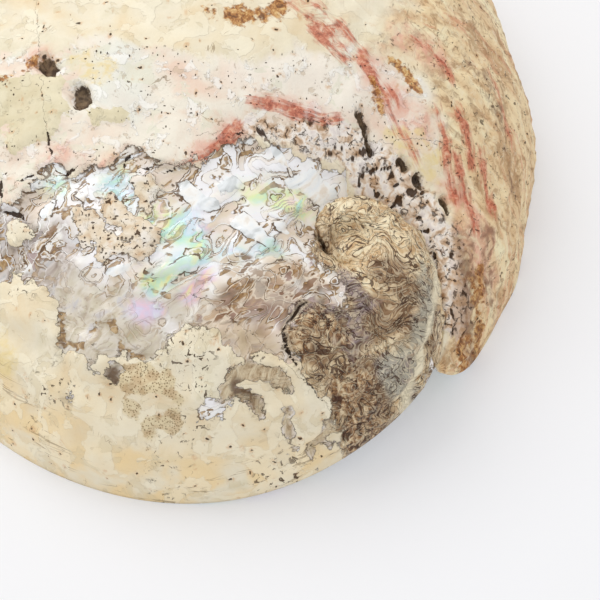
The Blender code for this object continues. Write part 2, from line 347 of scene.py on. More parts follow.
def oval_radius(azimuth):
    """Distance in plan from the coil axis to the oval outline of the whole shell."""
    a, b = WIDTH / 2, LENGTH / 2
    dx, dy = np.cos(azimuth - OVAL_TURN), np.sin(azimuth - OVAL_TURN)
    x = APEX[0] * math.cos(OVAL_TURN) + APEX[1] * math.sin(OVAL_TURN)
    y = APEX[1] * math.cos(OVAL_TURN) - APEX[0] * math.sin(OVAL_TURN)
    square = (dx / a) ** 2 + (dy / b) ** 2
    half_linear = x * dx / a**2 + y * dy / b**2
    constant = (x / a) ** 2 + (y / b) ** 2 - 1
    return (-half_linear + np.sqrt(half_linear**2 - square * constant)) / square


def edge_radius(growth):
    """Radius of a turn's outer edge: a log spiral up to the lip, and the oval outline after it."""
    spiral = LIP_RADIUS * np.exp(EXPANSION * growth)
    wavy = smoothstep(*RIM_WAVES_GROW, growth) * (1 - smoothstep(*RIM_WAVES_FADE, growth))
    wave = RIM_WAVE_HEIGHT * np.sin(RIM_WAVES * growth + RIM_WAVE_START) * wavy
    oval = oval_radius(LIP_AZIMUTH - growth) + wave
    return spiral + (oval - spiral) * smoothstep(*OVAL_BLEND, growth)


def spire_height(growth):
    """Height of a spire turn's edge, on a cone that leans to the back and right."""
    slope = CONE_SLOPE + LEAN_SLOPE * np.cos(LIP_AZIMUTH - growth - LEAN_AZIMUTH)
    return APEX[2] - slope * edge_radius(growth)


def edge_height(growth):
    last_turn = keyed(np.degrees(np.clip(growth, 0, TURN)), RIM_HEIGHT) * MM
    return np.where(growth < 0, spire_height(growth), last_turn)


print("from the coil axis to the lip, in mm:", round(float(edge_radius(np.array(0.0))) / MM, 1))

# %% The sections between suture and edge


def sections(growth, across):
    """Radius and height of section points: a row for each growth angle, a column for each share across."""
    growth = np.asarray(growth, float)[:, None]
    t = np.asarray(across, float)[None, :]
    degrees = np.degrees(np.clip(growth, math.radians(SECTION_HANDLES[0][0]), TURN))
    start_r, end_r = edge_radius(growth - TURN), edge_radius(growth)
    start_z, end_z = spire_height(growth - TURN), edge_height(growth)
    width = end_r - start_r
    rise_r = start_r + keyed(degrees, SECTION_HANDLES, 1) * width
    rise_z = start_z + keyed(degrees, SECTION_HANDLES, 2) * width
    fall_r = end_r + keyed(degrees, SECTION_HANDLES, 3) * width
    fall_z = end_z + keyed(degrees, SECTION_HANDLES, 4) * width
    b0, b1, b2, b3 = (1 - t) ** 3, 3 * t * (1 - t) ** 2, 3 * t**2 * (1 - t), t**3
    r = b0 * start_r + b1 * rise_r + b2 * fall_r + b3 * end_r
    z = b0 * start_z + b1 * rise_z + b2 * fall_z + b3 * end_z
    return r, z


def placed(growth, r, z):
    """Points in space, from growth angle, radius about the coil axis, and height."""
    azimuth = LIP_AZIMUTH - growth
    return np.stack([APEX[0] + r * np.cos(azimuth), APEX[1] + r * np.sin(azimuth), z], axis=-1)


farthest = edge_radius(np.linspace(0, TURN, 361)).max() / MM
print("from the coil axis to the farthest part of the rim, in mm:", round(float(farthest)))

# %% [markdown]
# ## How fine the mesh is
#
# The worn band and the spire have details smaller than a millimetre, and both are near the coil axis, where
# the rows of points crowd together by themselves. Far from the axis the rows fan out. Equal angles between
# them would leave wide gaps there, so the steps of growth are shorter where the edge is far away. The old
# turns of the spire need only a quarter of the columns, and a strip of triangles joins the two grids.

# %% Steps of growth and columns
STEPS_PER_TURN = 440
BODY_COLUMNS = 128
SPIRE_COLUMNS = 32
INSIDE_RINGS = 24
EVEN_SHARE = 40 * MM  # the larger, the more even the steps of growth


def growth_steps():
    """Growth angles over one turn, closer together where the edge is far from the coil axis."""
    angles = np.linspace(0, TURN, 2000)
    weight = edge_radius(angles) + EVEN_SHARE
    passed = np.concatenate([[0], np.cumsum((weight[1:] + weight[:-1]) / 2)])
    return np.interp(np.arange(STEPS_PER_TURN) / STEPS_PER_TURN * passed[-1], passed, angles)


turn_growth = growth_steps()
spire_rows = round(SPIRE_TURNS * STEPS_PER_TURN)
row_numbers = np.arange(-spire_rows, 0)
spire_growth = turn_growth[row_numbers % STEPS_PER_TURN] + TURN * (row_numbers // STEPS_PER_TURN)
body_across = np.linspace(0, 1, BODY_COLUMNS + 1)
spire_across = np.linspace(0, 1, SPIRE_COLUMNS + 1)
print("points outside:", STEPS_PER_TURN * BODY_COLUMNS + spire_rows * SPIRE_COLUMNS)

# %% [markdown]
# ## A map of the surface
#
# Each finish covers a certain patch of the shell: the pearl shows in a band that runs left from the spire,
# the red streaks lie in front of it. A painted image could hold this map. Here it is a few brush strokes,
# each given by its radius and the points it runs through, in millimetres from the apex, to the right and to
# the front, as seen from above. The distance to the nearest stroke, roughened with noise, becomes a number
# at each point of the mesh, and the material cuts its finishes out along the zero line of that number.

# %% Strokes and noise


def nearest_stroke(u, v, paths, taper=0.0):
    """How far inside the nearest stroke each place is, how far along it and how far to its left, in mm."""
    inside = np.full(np.shape(u), -1000.0)
    along = np.zeros(np.shape(u))
    aside = np.zeros(np.shape(u))
    for radius, *points in paths:
        points = np.array(points if len(points) > 1 else points * 2, float)
        lengths = np.hypot(*np.diff(points, axis=0).T)
        passed = 0.0
        for (x, y), (dx, dy), length in zip(points, np.diff(points, axis=0), lengths):
            share = np.clip(((u - x) * dx + (v - y) * dy) / max(length**2, 1e-9), 0, 1)
            reached = passed + share * length
            middle = 2 * reached / max(lengths.sum(), 1e-9) - 1
            depth = radius * (1 - taper * middle**2) - np.hypot(u - x - share * dx, v - y - share * dy)
            along = np.where(depth > inside, reached, along)
            left = ((v - y) * dx - (u - x) * dy) / max(length, 1e-9)
            aside = np.where(depth > inside, left, aside)
            inside = np.maximum(inside, depth)
            passed += length
    return inside, along, aside


def wander(points, size, octaves=3, seed=0):
    """Cloudy noise over the points, about -1 to 1, with clouds of a size in mm."""
    flat = points.reshape(-1, 3) / (size * MM) + 11.7 * seed
    values = [noise.fractal(p, 1.0, 2.0, octaves) for p in flat.tolist()]
    return np.array(values).reshape(points.shape[:-1])


def twisted(points, size, amount, seed=0):
    """The points, each moved a little in mm by noise, so that patterns made from them curl."""
    moves = [wander(points, size, 2, seed + axis) for axis in (1, 2, 3)]
    return points + amount * MM * np.stack(moves, axis=-1)


GRAIN_TURN = math.radians(42)  # the pearl's grain, from straight right towards the front
GRAIN_STRETCH = 2.1


def along_grain(points):
    """The points, squeezed along the pearl's grain, so that noise made from them is long and thin."""
    along = points[..., 0] * math.cos(GRAIN_TURN) + points[..., 1] * math.sin(GRAIN_TURN)
    aside = points[..., 1] * math.cos(GRAIN_TURN) - points[..., 0] * math.sin(GRAIN_TURN)
    return np.stack([along / GRAIN_STRETCH, aside, points[..., 2]], axis=-1)


inside, _, aside = nearest_stroke(1.0, 0.5, [(2.0, (0, 0), (4, 0))])
print("beside a stroke's middle line by", float(aside), "mm, a place is inside it by", float(inside), "mm")

# %% Where the pearl lies bare
# The band's two edges, as points in mm to the right of the apex and in front of it
PEARL_FRONT = (
    (-86, -4), (-74, 0), (-65, 2), (-61, 1), (-57, 6), (-52, 5), (-46, 6), (-40, 8), (-33, 5), (-26, 8),
    (-21, 13), (-15, 14), (-9, 13), (-2, 14), (3, 15),
)
PEARL_BACK = (
    (-86, -4), (-74, -11), (-65, -12), (-56, -14), (-53, -24), (-45, -26), (-37, -27), (-31, -24.5),
    (-24, -25), (-18, -26), (-13, -26), (-9, -27), (-3, -25), (7, -25),
)
# Each row of the other tables: a stroke's radius and the points it runs through, in mm
CRUST_PATCHES = (
    (5.5, (-59, -18.5), (-58.5, -19)),
    (2.8, (-49, -4), (-44, -9)),
    (2.6, (-44, -2), (-39, -6), (-37, -9)),
    (1.8, (-38, 2), (-38, -3)),
    (1.3, (-62, -3), (-59, -5)),
    (1.2, (-32, -24.5), (-26, -24)),
    (1.6, (-66, -11), (-63, -12)),
)
ISLANDS = CRUST_PATCHES[1:4]  # those full of bore holes
WINDOWS = (
    (1.0, (-22, -28.9), (-16, -28.1), (-11.5, -28.4)),
    (0.8, (-23, -31.2), (-19, -31.0), (-17, -31.7)),
    (0.8, (-12, -32), (-11, -34)),
    (0.3, (0, -30), (-4, -32), (-7, -34)),
    (0.45, (-43.8, -28.0), (-43.0, -29.2)),
)
PEARL_SPOTS = ((0.9, (-27.2, -33.2), (-24.2, -33)), (0.5, (-51.6, -29), (-51, -29)))
GREY_PATCHES = (
    (6.5, (-52, -18), (-40, -23)),
    (2.5, (-30, -20), (-24, -20)),
    (1.8, (-26, -23), (-15, -24.4)),
)
MURKY_PATCHES = ((6.0, (-72, -3), (-57, -8)), (2.0, (-58, -10), (-54, -12)))
WARM_PATCHES = (
    (3.0, (-25, -22.5), (-14, -24)),
    (3.0, (-22, -18.5), (-12, -15)),
    (2.0, (-13, -10), (-6, -11)),
    (1.8, (-38, -14), (-28, -16)),
)
PLATES = (
    (1.0, (-11, 7.5), (-8, 9)),
    (2.0, (-7, 9), (-2, 8.3)),
    (0.7, (-21, 13), (-16, 13.5), (-12.5, 11.5), (-11, 9.5)),
    (1.7, (-30.5, 1.5), (-26, -0.5)),
    (1.0, (-24, 3), (-21, 4.5)),
    (2.0, (-20, -3.5), (-16.5, -5.5)),
    (0.9, (-38, -11), (-37, -13)),
    (0.5, (-44, -13.5), (-39.5, -12.5)),
    (1.4, (-34, -14.5), (-29, -12)),
    (0.7, (-14, -2.4), (-12.5, -1.8)),
    (0.8, (-16.5, -9.5), (-13.5, -8.5)),
    (0.5, (-50, 1.5), (-49, -2)),
    (0.6, (-57, -1), (-55, 1)),
)
# Each row: a place, and how wide the whorl is, in mm
WHORLS = ((-17, 9, 2.6), (-11, 3, 2.4), (-27, -19, 3.2), (-50, 1, 2.4))
SHARD_PATCHES = (
    (2.4, (-22, -12), (-8, -12)),
    (1.9, (-18, -16), (-7, -15)),
    (1.6, (-7, -4), (-4, -10)),
    (1.6, (-60, -8), (-54, -6)),
    (1.4, (-28, -21), (-20, -20)),
)
VEINS = (
    (0.35, (-53, -22.5), (-49, -23.5), (-46, -21), (-44, -21), (-42.5, -22.5), (-41.5, -25.5), (-38, -27)),
    (0.65, (-53, -18.5), (-53, -22)),
    (0.6, (-50, -24), (-49, -23.5)),
    (0.55, (-44, -21), (-43, -21)),
    (0.5, (-36, -17), (-33, -18)),
)
# Each row: hue from 0 to 1, then a stroke
TINTS = (
    (0.70, 1.5, (-35, -3), (-31, -7)),
    (0.56, 1.4, (-30, -5), (-27.5, -9)),
    (0.10, 1.0, (-29, -4), (-28, -6)),
    (0.56, 0.3, (-56, 4), (-54, 3.4)),
    (0.55, 0.4, (-45, 2.5), (-42, 4)),
    (0.66, 1.3, (-38, -5), (-35, -7)),
    (0.40, 1.0, (-43, 1), (-41, 0)),
    (0.42, 1.5, (-22, -10), (-19, -12)),
    (0.50, 1.5, (-36, -16), (-32, -14), (-28, -11)),
    (0.08, 0.9, (-39, -19.5), (-36, -20)),
    (0.06, 1.2, (-29.5, -17.5), (-26.5, -14.5)),
    (0.74, 1.4, (-18, 3), (-9, 5)),
    (0.40, 1.0, (-16, -8.5), (-14, -7.5)),
)
print("strokes for the pearl:", len(PLATES) + len(TINTS) + len(VEINS) + len(CRUST_PATCHES))

# %% Where the spire's flakes lie
SPIRE_PATCH = (
    (9.0, (2, -2), (10, -8)),
    (8.0, (9, -10), (5, -21)),
    (3.6, (2, -8), (3, -16)),
    (3.4, (-8.5, -18.5), (-2, -19)),
    (3.0, (-9.5, -22), (-2, -22)),
    (3.6, (4, -25), (0, -29)),
    (4.0, (13, -13), (10, -23)),
    (1.9, (-8, -26), (-3, -26.8)),
)
UMBER_PATCHES = (
    (3.4, (-5, -12), (1, -14), (8, -15)),
    (3.0, (-6, -19), (2, -19)),
    (3.4, (7, -8), (13, -10)),
    (2.6, (10, -13), (13, -15)),
    (3.6, (-1, -27), (4, -25.5)),
    (2.4, (-10, -20), (-7, -17)),
    (2.8, (-9.5, -22), (-5.5, -24)),
    (1.6, (-6.5, 2), (-5.5, -3)),
)
KNOB_RADIUS = 4.2
KNOB_HEIGHT = 1.1
KNOB_PLACE = (0.4, -0.4)
LILAC_PATCHES = (
    (2.9, (-22, -18.8), (-12, -18.5)),
    (3.0, (-16, -15.5), (-10, -15.5)),
    (1.8, (-11, -11), (-6, -12.6)),
    (1.8, (-2, -8.6), (0.4, -11.5), (2.9, -13.7)),
    (1.6, (-2.6, -21), (2.2, -20.2)),
    (1.8, (-5, -15), (0, -17)),
    (1.6, (6, -22.6), (11, -21.3)),
)
BROWN_PATCHES = (
    (1.5, (-9.5, -19.5), (-5, -18.5), (-2, -20.5)),
    (1.5, (-10.5, -21), (-9, -24)),
    (2.4, (-2, -27), (0.5, -30)),
    (1.4, (2, -25), (4, -28)),
    (0.7, (-6.5, 2), (-5, -4)),
    (0.8, (-20.6, -30.5), (-17.2, -30.4)),
    (0.7, (-43.8, -28.0), (-43.0, -29.2)),
)
spire_strokes = SPIRE_PATCH + UMBER_PATCHES + LILAC_PATCHES + BROWN_PATCHES
print("strokes for the spire:", len(spire_strokes))

# %% Where the crust is stained, pitted or cracked
CHALK_FRONT = (
    (-90, 32), (-58, 32), (-49, 33), (-40, 32), (-33, 28), (-28, 26), (-15, 27), (-10, 31), (-4, 33), (4, 34),
    (12, 30),
)
FLAT_PATCHES = ((5.6, (-64, 22), (-59, 22)), (4.0, (-61, 16), (-57, 17)), (1.8, (-47, 15.5), (-43, 15.5)))
PALE_PATCHES = ((5.0, (-45, 27), (-41, 19)),)
BRIGHT_PATCHES = ((5.0, (-19, 26), (-3, 27)),)
YELLOW_PATCHES = (
    (3.0, (-50, 27.5), (-47.5, 25)),
    (2.6, (10, 20), (16, 18)),
    (1.6, (-65, -19.5), (-62.5, -21)),
)
POROUS_PATCHES = (
    (2.2, (-19, 15.5), (-8, 16)),
    (3.0, (-8, 16.5), (2, 17)),
    (4.2, (4, 15), (11, 12)),
    (4.8, (13, 9), (17, 4)),
    (4.0, (18, 1), (19.5, -6)),
)
RED_STREAKS = (
    (1.15, (-19, 20), (-14, 20.3), (-9, 20), (-5.5, 20), (-2, 21)),
    (0.7, (-33.5, 5), (-30, 6.5), (-26, 8.5), (-24, 10)),
    (1.5, (-27, 8), (-23, 12), (-20.5, 16)),
    (0.9, (-15, 43), (-9, 39), (-5, 37.5), (1, 32.5)),
    (0.6, (-8, 37), (-4, 34), (0, 31)),
    (0.6, (-11, 43), (-6, 41), (-1, 37), (4, 32.5)),
    (1.1, (2, 33), (4.5, 30), (8, 25.5)),
    (0.7, (6, 28), (8, 24), (10, 21), (13, 17)),
    (0.5, (5, 32), (9, 27), (11, 22)),
    (0.5, (12.5, 40.5), (16, 39), (19, 37), (20.5, 34)),
    (0.95, (21.5, 30), (23, 25), (23.7, 20)),
    (0.85, (25.7, 25), (27, 20), (27.7, 14)),
    (0.75, (17, 28), (18.5, 22), (19, 17), (20.5, 12)),
    (0.75, (20.5, 21), (22.5, 15), (24, 9)),
    (0.4, (29, 44), (31, 38), (33, 31)),
)
PINK_PATCHES = (
    (2.2, (11, 39), (17, 38)),
    (3.0, (5, 30), (13, 23)),
    (2.6, (21, 15), (26, 6)),
    (2.0, (-27, 9), (-22, 14)),
    (1.4, (-59, 31), (-58, 29)),
    (1.3, (-57, 9), (-53, 9)),
    (1.4, (-47, 5.5), (-42, 6.5)),
    (1.0, (-13, 21), (-6, 21)),
    (1.2, (-49, 7), (-47, 3)),
)
OCHRE_PATCHES = (
    (1.2, (-27.2, 37.6), (-23.7, 36.8)),
    (1.7, (-23, 36.6), (-17, 37.4), (-12.5, 39.4)),
    (1.3, (9, 33.5), (12, 31), (14, 28.5)),
    (1.2, (5, 27.5), (6, 23.5)),
    (1.3, (24, 1), (25, -5)),
    (0.8, (21.6, -9.4), (23.4, -6.2)),
    (0.7, (25.2, 0.4), (26, 4.8)),
    (0.6, (-67, 26), (-60, 30)),
)
DARK_PATCHES = (
    (1.4, (28, 41), (29, 37), (30.6, 33)),
    (0.5, (31, 34), (33, 25)),
    (0.7, (24, 43), (26, 40)),
    (2.2, (22.5, 6), (23.5, -6)),
    (1.2, (27, 10), (27.5, 2)),
)
DOTTED_PATCHES = (
    (1.9, (-40, -29.2), (-33.5, -29.8)),
    (1.1, (-41, -31.5), (-39, -33)),
    (1.2, (-37, -34.7), (-32, -34.3)),
    (1.0, (-33, -31), (-31, -32)),
)
SPECK_PATCHES = (
    (5.0, (-72, -3), (-58, -8)),
    (2.4, (-37, -25.5), (-28, -26.5)),
    (1.4, (-30, -29), (-28, -31)),
    (1.6, (-57, -27), (-54, -28)),
    (1.0, (-32, -35), (-27, -34.5)),
    (1.2, (-35, -38), (-32, -37)),
    (0.5, (-17, -37.5), (-10, -36)),
)
crust_strokes = RED_STREAKS + PINK_PATCHES + OCHRE_PATCHES + POROUS_PATCHES
print("strokes for the crust:", len(crust_strokes))

# %% [markdown]
# ## The relief
#
# The relief is what the light catches before any colour does. On the real shell it has several causes, and
# each gets its own term: growth ripples, the collars of the breathing holes, hollows bored by clams, the
# crust's broken edge round the pearl, the terraces of the pearl layers, and the wormy pits in front of the
# spire. Bump alone would not do: the crust's edge stands a millimetre high.

# %% Breathing holes, knobs, hollows and cracks
# Each row: growth angle in degrees, place as a share of the way to the edge, and size in mm
OPEN_HOLES = ((147, 0.80, 2.6), (160, 0.80, 3.0), (171, 0.80, 3.3), (181, 0.81, 3.5))
FILLED_HOLES = ((134, 0.80, 2.6), (120, 0.81, 2.4), (107, 0.81, 2.1), (95, 0.81, 1.8), (84, 0.80, 1.6))
COLLAR_HEIGHT = 1.1
COLLAR_WIDTH = 5
FILLED_HEIGHT = 0.8
HOLLOWS = (
    (1.5, (-58, 29), (-56.4, 27.2)),
    (1.5, (-50.9, 21.8), (-50.3, 19.4)),
    (0.65, (2.2, 22.2), (3.4, 19.8)),
    (0.50, (3.7, 18.6), (4.2, 16.8)),
    (0.55, (9.6, 16.6), (10.8, 15.6)),
    (0.55, (12.8, 14.4), (13.8, 13.2)),
    (0.60, (18, 12), (19, 10.4)),
)
HOLLOW_DEPTH = 2.3
CRACKS = (
    (0.85, (-56.4, 14.6), (-56.1, 12.6), (-56.4, 11.1)),
    (0.50, (-56.4, 11.1), (-55.2, 9.2)),
    (1.00, (-65.4, 7.4), (-64.8, 3.4)),
    (0.85, (-65.2, 1.6), (-62.4, 0.4), (-60.4, -1.6)),
    (0.65, (-61.2, 5.3), (-59.5, 5.9), (-57.8, 6.8)),
    (0.80, (-54.2, 5.2), (-51.9, 5.5), (-50.2, 6.2)),
    (0.75, (-42.3, 5.2), (-41.5, 7.1), (-40.2, 8.0)),
    (0.60, (-38.2, 5.2), (-36.5, 5.3)),
    (0.60, (-34.1, 5.0), (-32.4, 5.6)),
    (0.60, (-22, 13.5), (-19.5, 14)),
    (0.40, (-9, -27.5), (-5, -29.5)),
)
CRACK_TAPER = 0.7  # how far a crack narrows towards its ends
SLIT = (
    (0.27, (-7.5, -15.5), (-9.3, -17), (-10.4, -19), (-11.9, -20.6)),
    (0.36, (-11.8, -20.4), (-12.3, -22), (-11.7, -24), (-10.3, -25.6), (-9.2, -26.8)),
)
EDGE_RIDGE = (
    (0.45, (3, 11.6), (8, 11.8), (11.6, 9.8), (14.2, 7.4), (15.4, 5), (15.8, 0), (15.8, -5), (15.4, -9),
     (14.4, -14), (12.4, -20), (9, -26)),
)
EDGE_STRIP = ((1.1, (14.2, -3), (14.2, -9), (13.2, -14), (11.2, -20)), (2.0, (7, -23), (10.5, -20)))
CREVICE = ((0.26, (-6.0, 0.8), (-5.6, -1), (-4.6, -2.8)),)


def hole_place(degrees, out):
    """Where a breathing hole goes through, in plan."""
    growth = math.radians(degrees)
    return placed(growth, out * edge_radius(np.array(growth)), np.array(0.0))


def gap_to_hole(x, y, degrees, out):
    """Distance in plan from the middle of a breathing hole, in mm."""
    hole = hole_place(degrees, out)
    return np.hypot(x - hole[0], y - hole[1]) / MM


def bumps(x, y):
    """The collars of the open holes and the knobs that fill the old ones, in mm."""
    height = 0.0
    for degrees, out, size in OPEN_HOLES:
        collar = 1 - smoothstep(size, size + COLLAR_WIDTH, gap_to_hole(x, y, degrees, out))
        height = height + COLLAR_HEIGHT * collar
    for degrees, out, size in FILLED_HOLES:
        knob = 1 - smoothstep(size / 2, 2.5 * size, gap_to_hole(x, y, degrees, out))
        height = height + FILLED_HEIGHT * knob
    return height


print("breathing holes:", len(OPEN_HOLES), "open and", len(FILLED_HOLES), "filled")

# %% How patches become numbers
# Each row: a field's name, its strokes, and how far noise moves their edges in mm
CLEAR_PATCHES = (
    ("flat", FLAT_PATCHES, 2.2),
    ("yellow", YELLOW_PATCHES, 1.6),
    ("shards", SHARD_PATCHES, 1.8),
    ("veins", VEINS, 0.5),
    ("ochre", OCHRE_PATCHES, 1.6),
    ("dark", DARK_PATCHES, 1.0),
    ("dots", DOTTED_PATCHES, 1.2),
)
# The same, and between which distances from its edge, in mm, the patch fades in
SOFT_PATCHES = (
    ("warm", WARM_PATCHES, 1.5, -2.5, 1.5),
    ("pink", PINK_PATCHES, 1.8, -2.5, 1.5),
    ("specks", SPECK_PATCHES, 1.5, -2.5, 1.0),
)
# The same, but the noise is broader
BROAD_PATCHES = (
    ("grey", GREY_PATCHES, 3, -3, 2),
    ("murky", MURKY_PATCHES, 3, -3, 2),
    ("pale", PALE_PATCHES, 3, -2, 2),
    ("bright", BRIGHT_PATCHES, 3, -2, 2),
)
NOWHERE = -10.0  # a field's value where its patches can't be
SPIRE_LAST = 150  # growth angle after which no patch belongs to the spire
PEARL_END = (222, 234)  # growth angles between which the pearl ends at the flank
PEARL_END_DEPTH = 60  # in mm, more than the band is wide
LEDGE_END = (200, 230)  # growth angles between which the dirty ledge of the crust ends
RED_TAPER = 0.8  # how far a red streak narrows towards its ends
SLIT_TAPER = 0.9
CREVICE_TAPER = 0.8
FLANK_START = (205, 245)  # growth angles between which the tan of the flank sets in
FLANK_ACROSS = (0.2, 0.42)  # the same, as shares from the suture to the rim
FAR_FRONT = (38, 56)  # where the far side begins, in mm in front of the apex
FAR_LEFT = (-72, -86)  # the same, in mm to the right of the apex
RIM_ACROSS = (0.76, 0.92)
RIM_START = (35, 60)
DEGREE_LENGTH = 0.8  # about how many mm of rim grow in a degree
print("fields from plain patches:", len(CLEAR_PATCHES) + len(SOFT_PATCHES) + len(BROAD_PATCHES))

# %% The numbers that the mesh carries


class Ground:
    """Where the points of a grid lie, and the noise that roughens the edges of patches there."""

    def __init__(self, points, growth):
        self.points = points
        self.u = (points[..., 0] - APEX[0]) / MM
        self.v = (points[..., 1] - APEX[1]) / MM
        self.degrees = np.degrees(growth) + 0 * self.u
        self.on_body = self.degrees >= 0
        self.coarse = wander(points, 7, 4, 1)
        self.medium = wander(points, 3.5, 3, 2)
        self.fine = wander(points, 1.6, 2, 3)

    def depth(self, strokes, taper=0.0):
        """How far inside the nearest stroke each place is, in mm."""
        return nearest_stroke(self.u, self.v, strokes, taper)[0]

    def patch(self, strokes, swing, roughness=None, taper=0.0):
        """A field from strokes, roughened by so many mm; the spire's old turns have none."""
        roughness = self.medium if roughness is None else roughness
        return np.where(self.on_body, self.depth(strokes, taper) + swing * roughness, NOWHERE)


def plain_fields(here):
    """The fields that are made from one table of patches each."""
    fields = {name: here.patch(strokes, swing) for name, strokes, swing in CLEAR_PATCHES}
    for name, strokes, swing, low, high in SOFT_PATCHES:
        fields[name] = smoothstep(low, high, here.patch(strokes, swing))
    for name, strokes, swing, low, high in BROAD_PATCHES:
        fields[name] = smoothstep(low, high, here.patch(strokes, swing, here.coarse))
    return fields


def bare_fields(here):
    """Where the crust is gone: the band of pearl with its windows, the spire, and the ledge beside them."""
    front = np.interp(here.u, *np.transpose(PEARL_FRONT))
    back = np.interp(here.u, *np.transpose(PEARL_BACK))
    band = np.minimum(front - here.v, here.v - back) + 2.6 * here.coarse + 0.8 * here.medium
    windows = here.patch(WINDOWS, 1.2)
    spots = here.patch(PEARL_SPOTS, 0.8)
    crust_left = here.patch(CRUST_PATCHES, 2.4)
    bare = np.maximum(np.minimum(band, -crust_left), np.maximum(windows, spots))
    bare = bare - PEARL_END_DEPTH * smoothstep(*PEARL_END, here.degrees + 6 * here.coarse)
    spire = here.depth(SPIRE_PATCH) + 1.6 * here.coarse
    on_last_turn = np.where(here.degrees > SPIRE_LAST, NOWHERE, spire)
    spire = np.where(here.on_body, on_last_turn, np.maximum(spire, 4))
    bare = np.maximum(np.where(here.on_body, bare, 5), spire)
    ledge = smoothstep(-2.5, 0.5, here.v - front) * (1 - smoothstep(*LEDGE_END, here.degrees))
    return {
        "bare": bare,
        "window": smoothstep(-0.5, 0.3, windows),
        "spire": spire,
        "ledge": ledge * here.on_body,
    }


def crust_fields(here, across):
    """The kinds of crust, and the rim and the far side, where the crust is less worn."""
    tan = smoothstep(*FLANK_START, here.degrees + 14 * here.coarse)
    tan = tan * smoothstep(*FLANK_ACROSS, across + 0.15 * here.coarse)
    tan = tan * here.on_body
    chalk_start = np.interp(here.u, *np.transpose(PEARL_FRONT))
    chalk_end = np.interp(here.u, *np.transpose(CHALK_FRONT))
    chalk = smoothstep(-3, 3, here.v - chalk_start + 4 * here.coarse)
    chalk = chalk * (1 - smoothstep(-0.8, 0.8, here.v - chalk_end + 4 * here.coarse))
    chalk = np.maximum(chalk * (1 - tan), smoothstep(-4, 0, here.depth(ISLANDS)))
    far_front = smoothstep(*FAR_FRONT, here.v + 4 * here.coarse)
    far_left = smoothstep(*FAR_LEFT, here.u + 4 * here.coarse)
    rim = smoothstep(*RIM_ACROSS, across + 0.08 * here.coarse) * smoothstep(*RIM_START, here.degrees)
    return {
        "tan": tan,
        "chalk": chalk,
        "island": smoothstep(-2, 0.5, here.depth(ISLANDS) + here.medium) * here.on_body,
        "porous": here.patch(POROUS_PATCHES, 2.2, here.coarse),
        "far": np.maximum(far_front, far_left) * here.on_body,
        "rim": rim,
    }


def line_fields(here):
    """Cracks, slits and hollows, and the red streaks, which are strokes too."""
    red, red_along, red_side = nearest_stroke(here.u, here.v, RED_STREAKS, RED_TAPER)
    crack, _, crack_side = nearest_stroke(here.u, here.v, CRACKS, CRACK_TAPER)
    return {
        "red": np.where(here.on_body, red + 1.0 * here.medium, NOWHERE),
        "red_along": red_along,
        "red_side": red_side,
        "crack": np.where(here.on_body, crack + 0.25 * here.fine, NOWHERE),
        "crack_side": crack_side,
        "hollow": here.patch(HOLLOWS, 0.6) + 0.4 * here.fine,
        "slit": here.patch(SLIT, 0.15, here.fine, SLIT_TAPER),
        "crevice": here.depth(CREVICE, CREVICE_TAPER) + 0.2 * here.fine,
    }


# %% Layers and tints of the pearl and the spire


def pearl_layers(here):
    """Depth of wear in the pearl, in layers: cloudy along the grain, ringed in whorls."""
    layer = 3.4 * wander(twisted(along_grain(here.points), 6, 3.0, 5), 6.5, 2, 6)
    for x, y, size in WHORLS:
        layer = layer + 2.0 * (1 - smoothstep(0.1, 1.1, np.hypot(here.u - x, here.v - y) / size))
    return layer


def tints(here):
    """How strong the pearl's rainbow colours are, from 0 to 1, and their mean hue."""
    total, hues, strongest = 1e-6, 0.0, 0.0
    for hue, *stroke in TINTS:
        share = smoothstep(-2.6, 1.0, here.depth((stroke,)) + 1.2 * here.medium)
        total = total + share
        hues = hues + hue * share
        strongest = np.maximum(strongest, share)
    return strongest, hues / total


def spire_layers(here):
    """Depth of wear in the spire's flakes, in layers, ringed round its oldest tip."""
    layer = 2.6 * wander(twisted(here.points, 4, 2.0, 7), 4.6, 2, 8)
    from_tip = np.hypot(here.u - KNOB_PLACE[0], here.v - KNOB_PLACE[1])
    return layer + (1.1 * from_tip + 0.8 * layer - layer) * (1 - smoothstep(3, 5.5, from_tip))


def layer_fields(here, on_spire):
    """The layers of the pearl and the spire, and the patches on them."""
    layer = pearl_layers(here)
    layer = layer + (spire_layers(here) - layer) * on_spire
    vivid, hue = tints(here)
    return {
        "layer": layer,
        "plate": here.patch(PLATES, 1.5) + 0.5 * here.fine,
        "vivid": vivid * here.on_body,
        "hue": hue,
        "umber": smoothstep(-2.5, 1.5, here.depth(UMBER_PATCHES) + 1.6 * here.medium),
        "lilac": here.depth(LILAC_PATCHES) + 1.8 * here.medium,
        "brown": here.depth(BROWN_PATCHES) + 1.2 * here.medium,
        "edge_line": smoothstep(-0.2, 0.25, here.depth(EDGE_RIDGE) + 0.15 * here.fine) * on_spire,
        "edge_strip": smoothstep(-0.8, 0.6, here.depth(EDGE_STRIP) + 0.8 * here.medium),
    }


# %% All fields together


def surface_map(points, growth, across, radius):
    """All the fields of the outside, by name."""
    here = Ground(points, growth)
    fields = plain_fields(here) | bare_fields(here) | crust_fields(here, across) | line_fields(here)
    fields |= layer_fields(here, smoothstep(-1, 1, fields["spire"]))
    height = points[..., 2]
    fields["from_suture"] = np.hypot(radius - radius[:, :1], height - height[:, :1]) / MM
    fields["from_edge"] = np.hypot(radius - radius[:, -1:], height - height[:, -1:]) / MM
    fields["along"] = here.degrees * DEGREE_LENGTH
    return fields


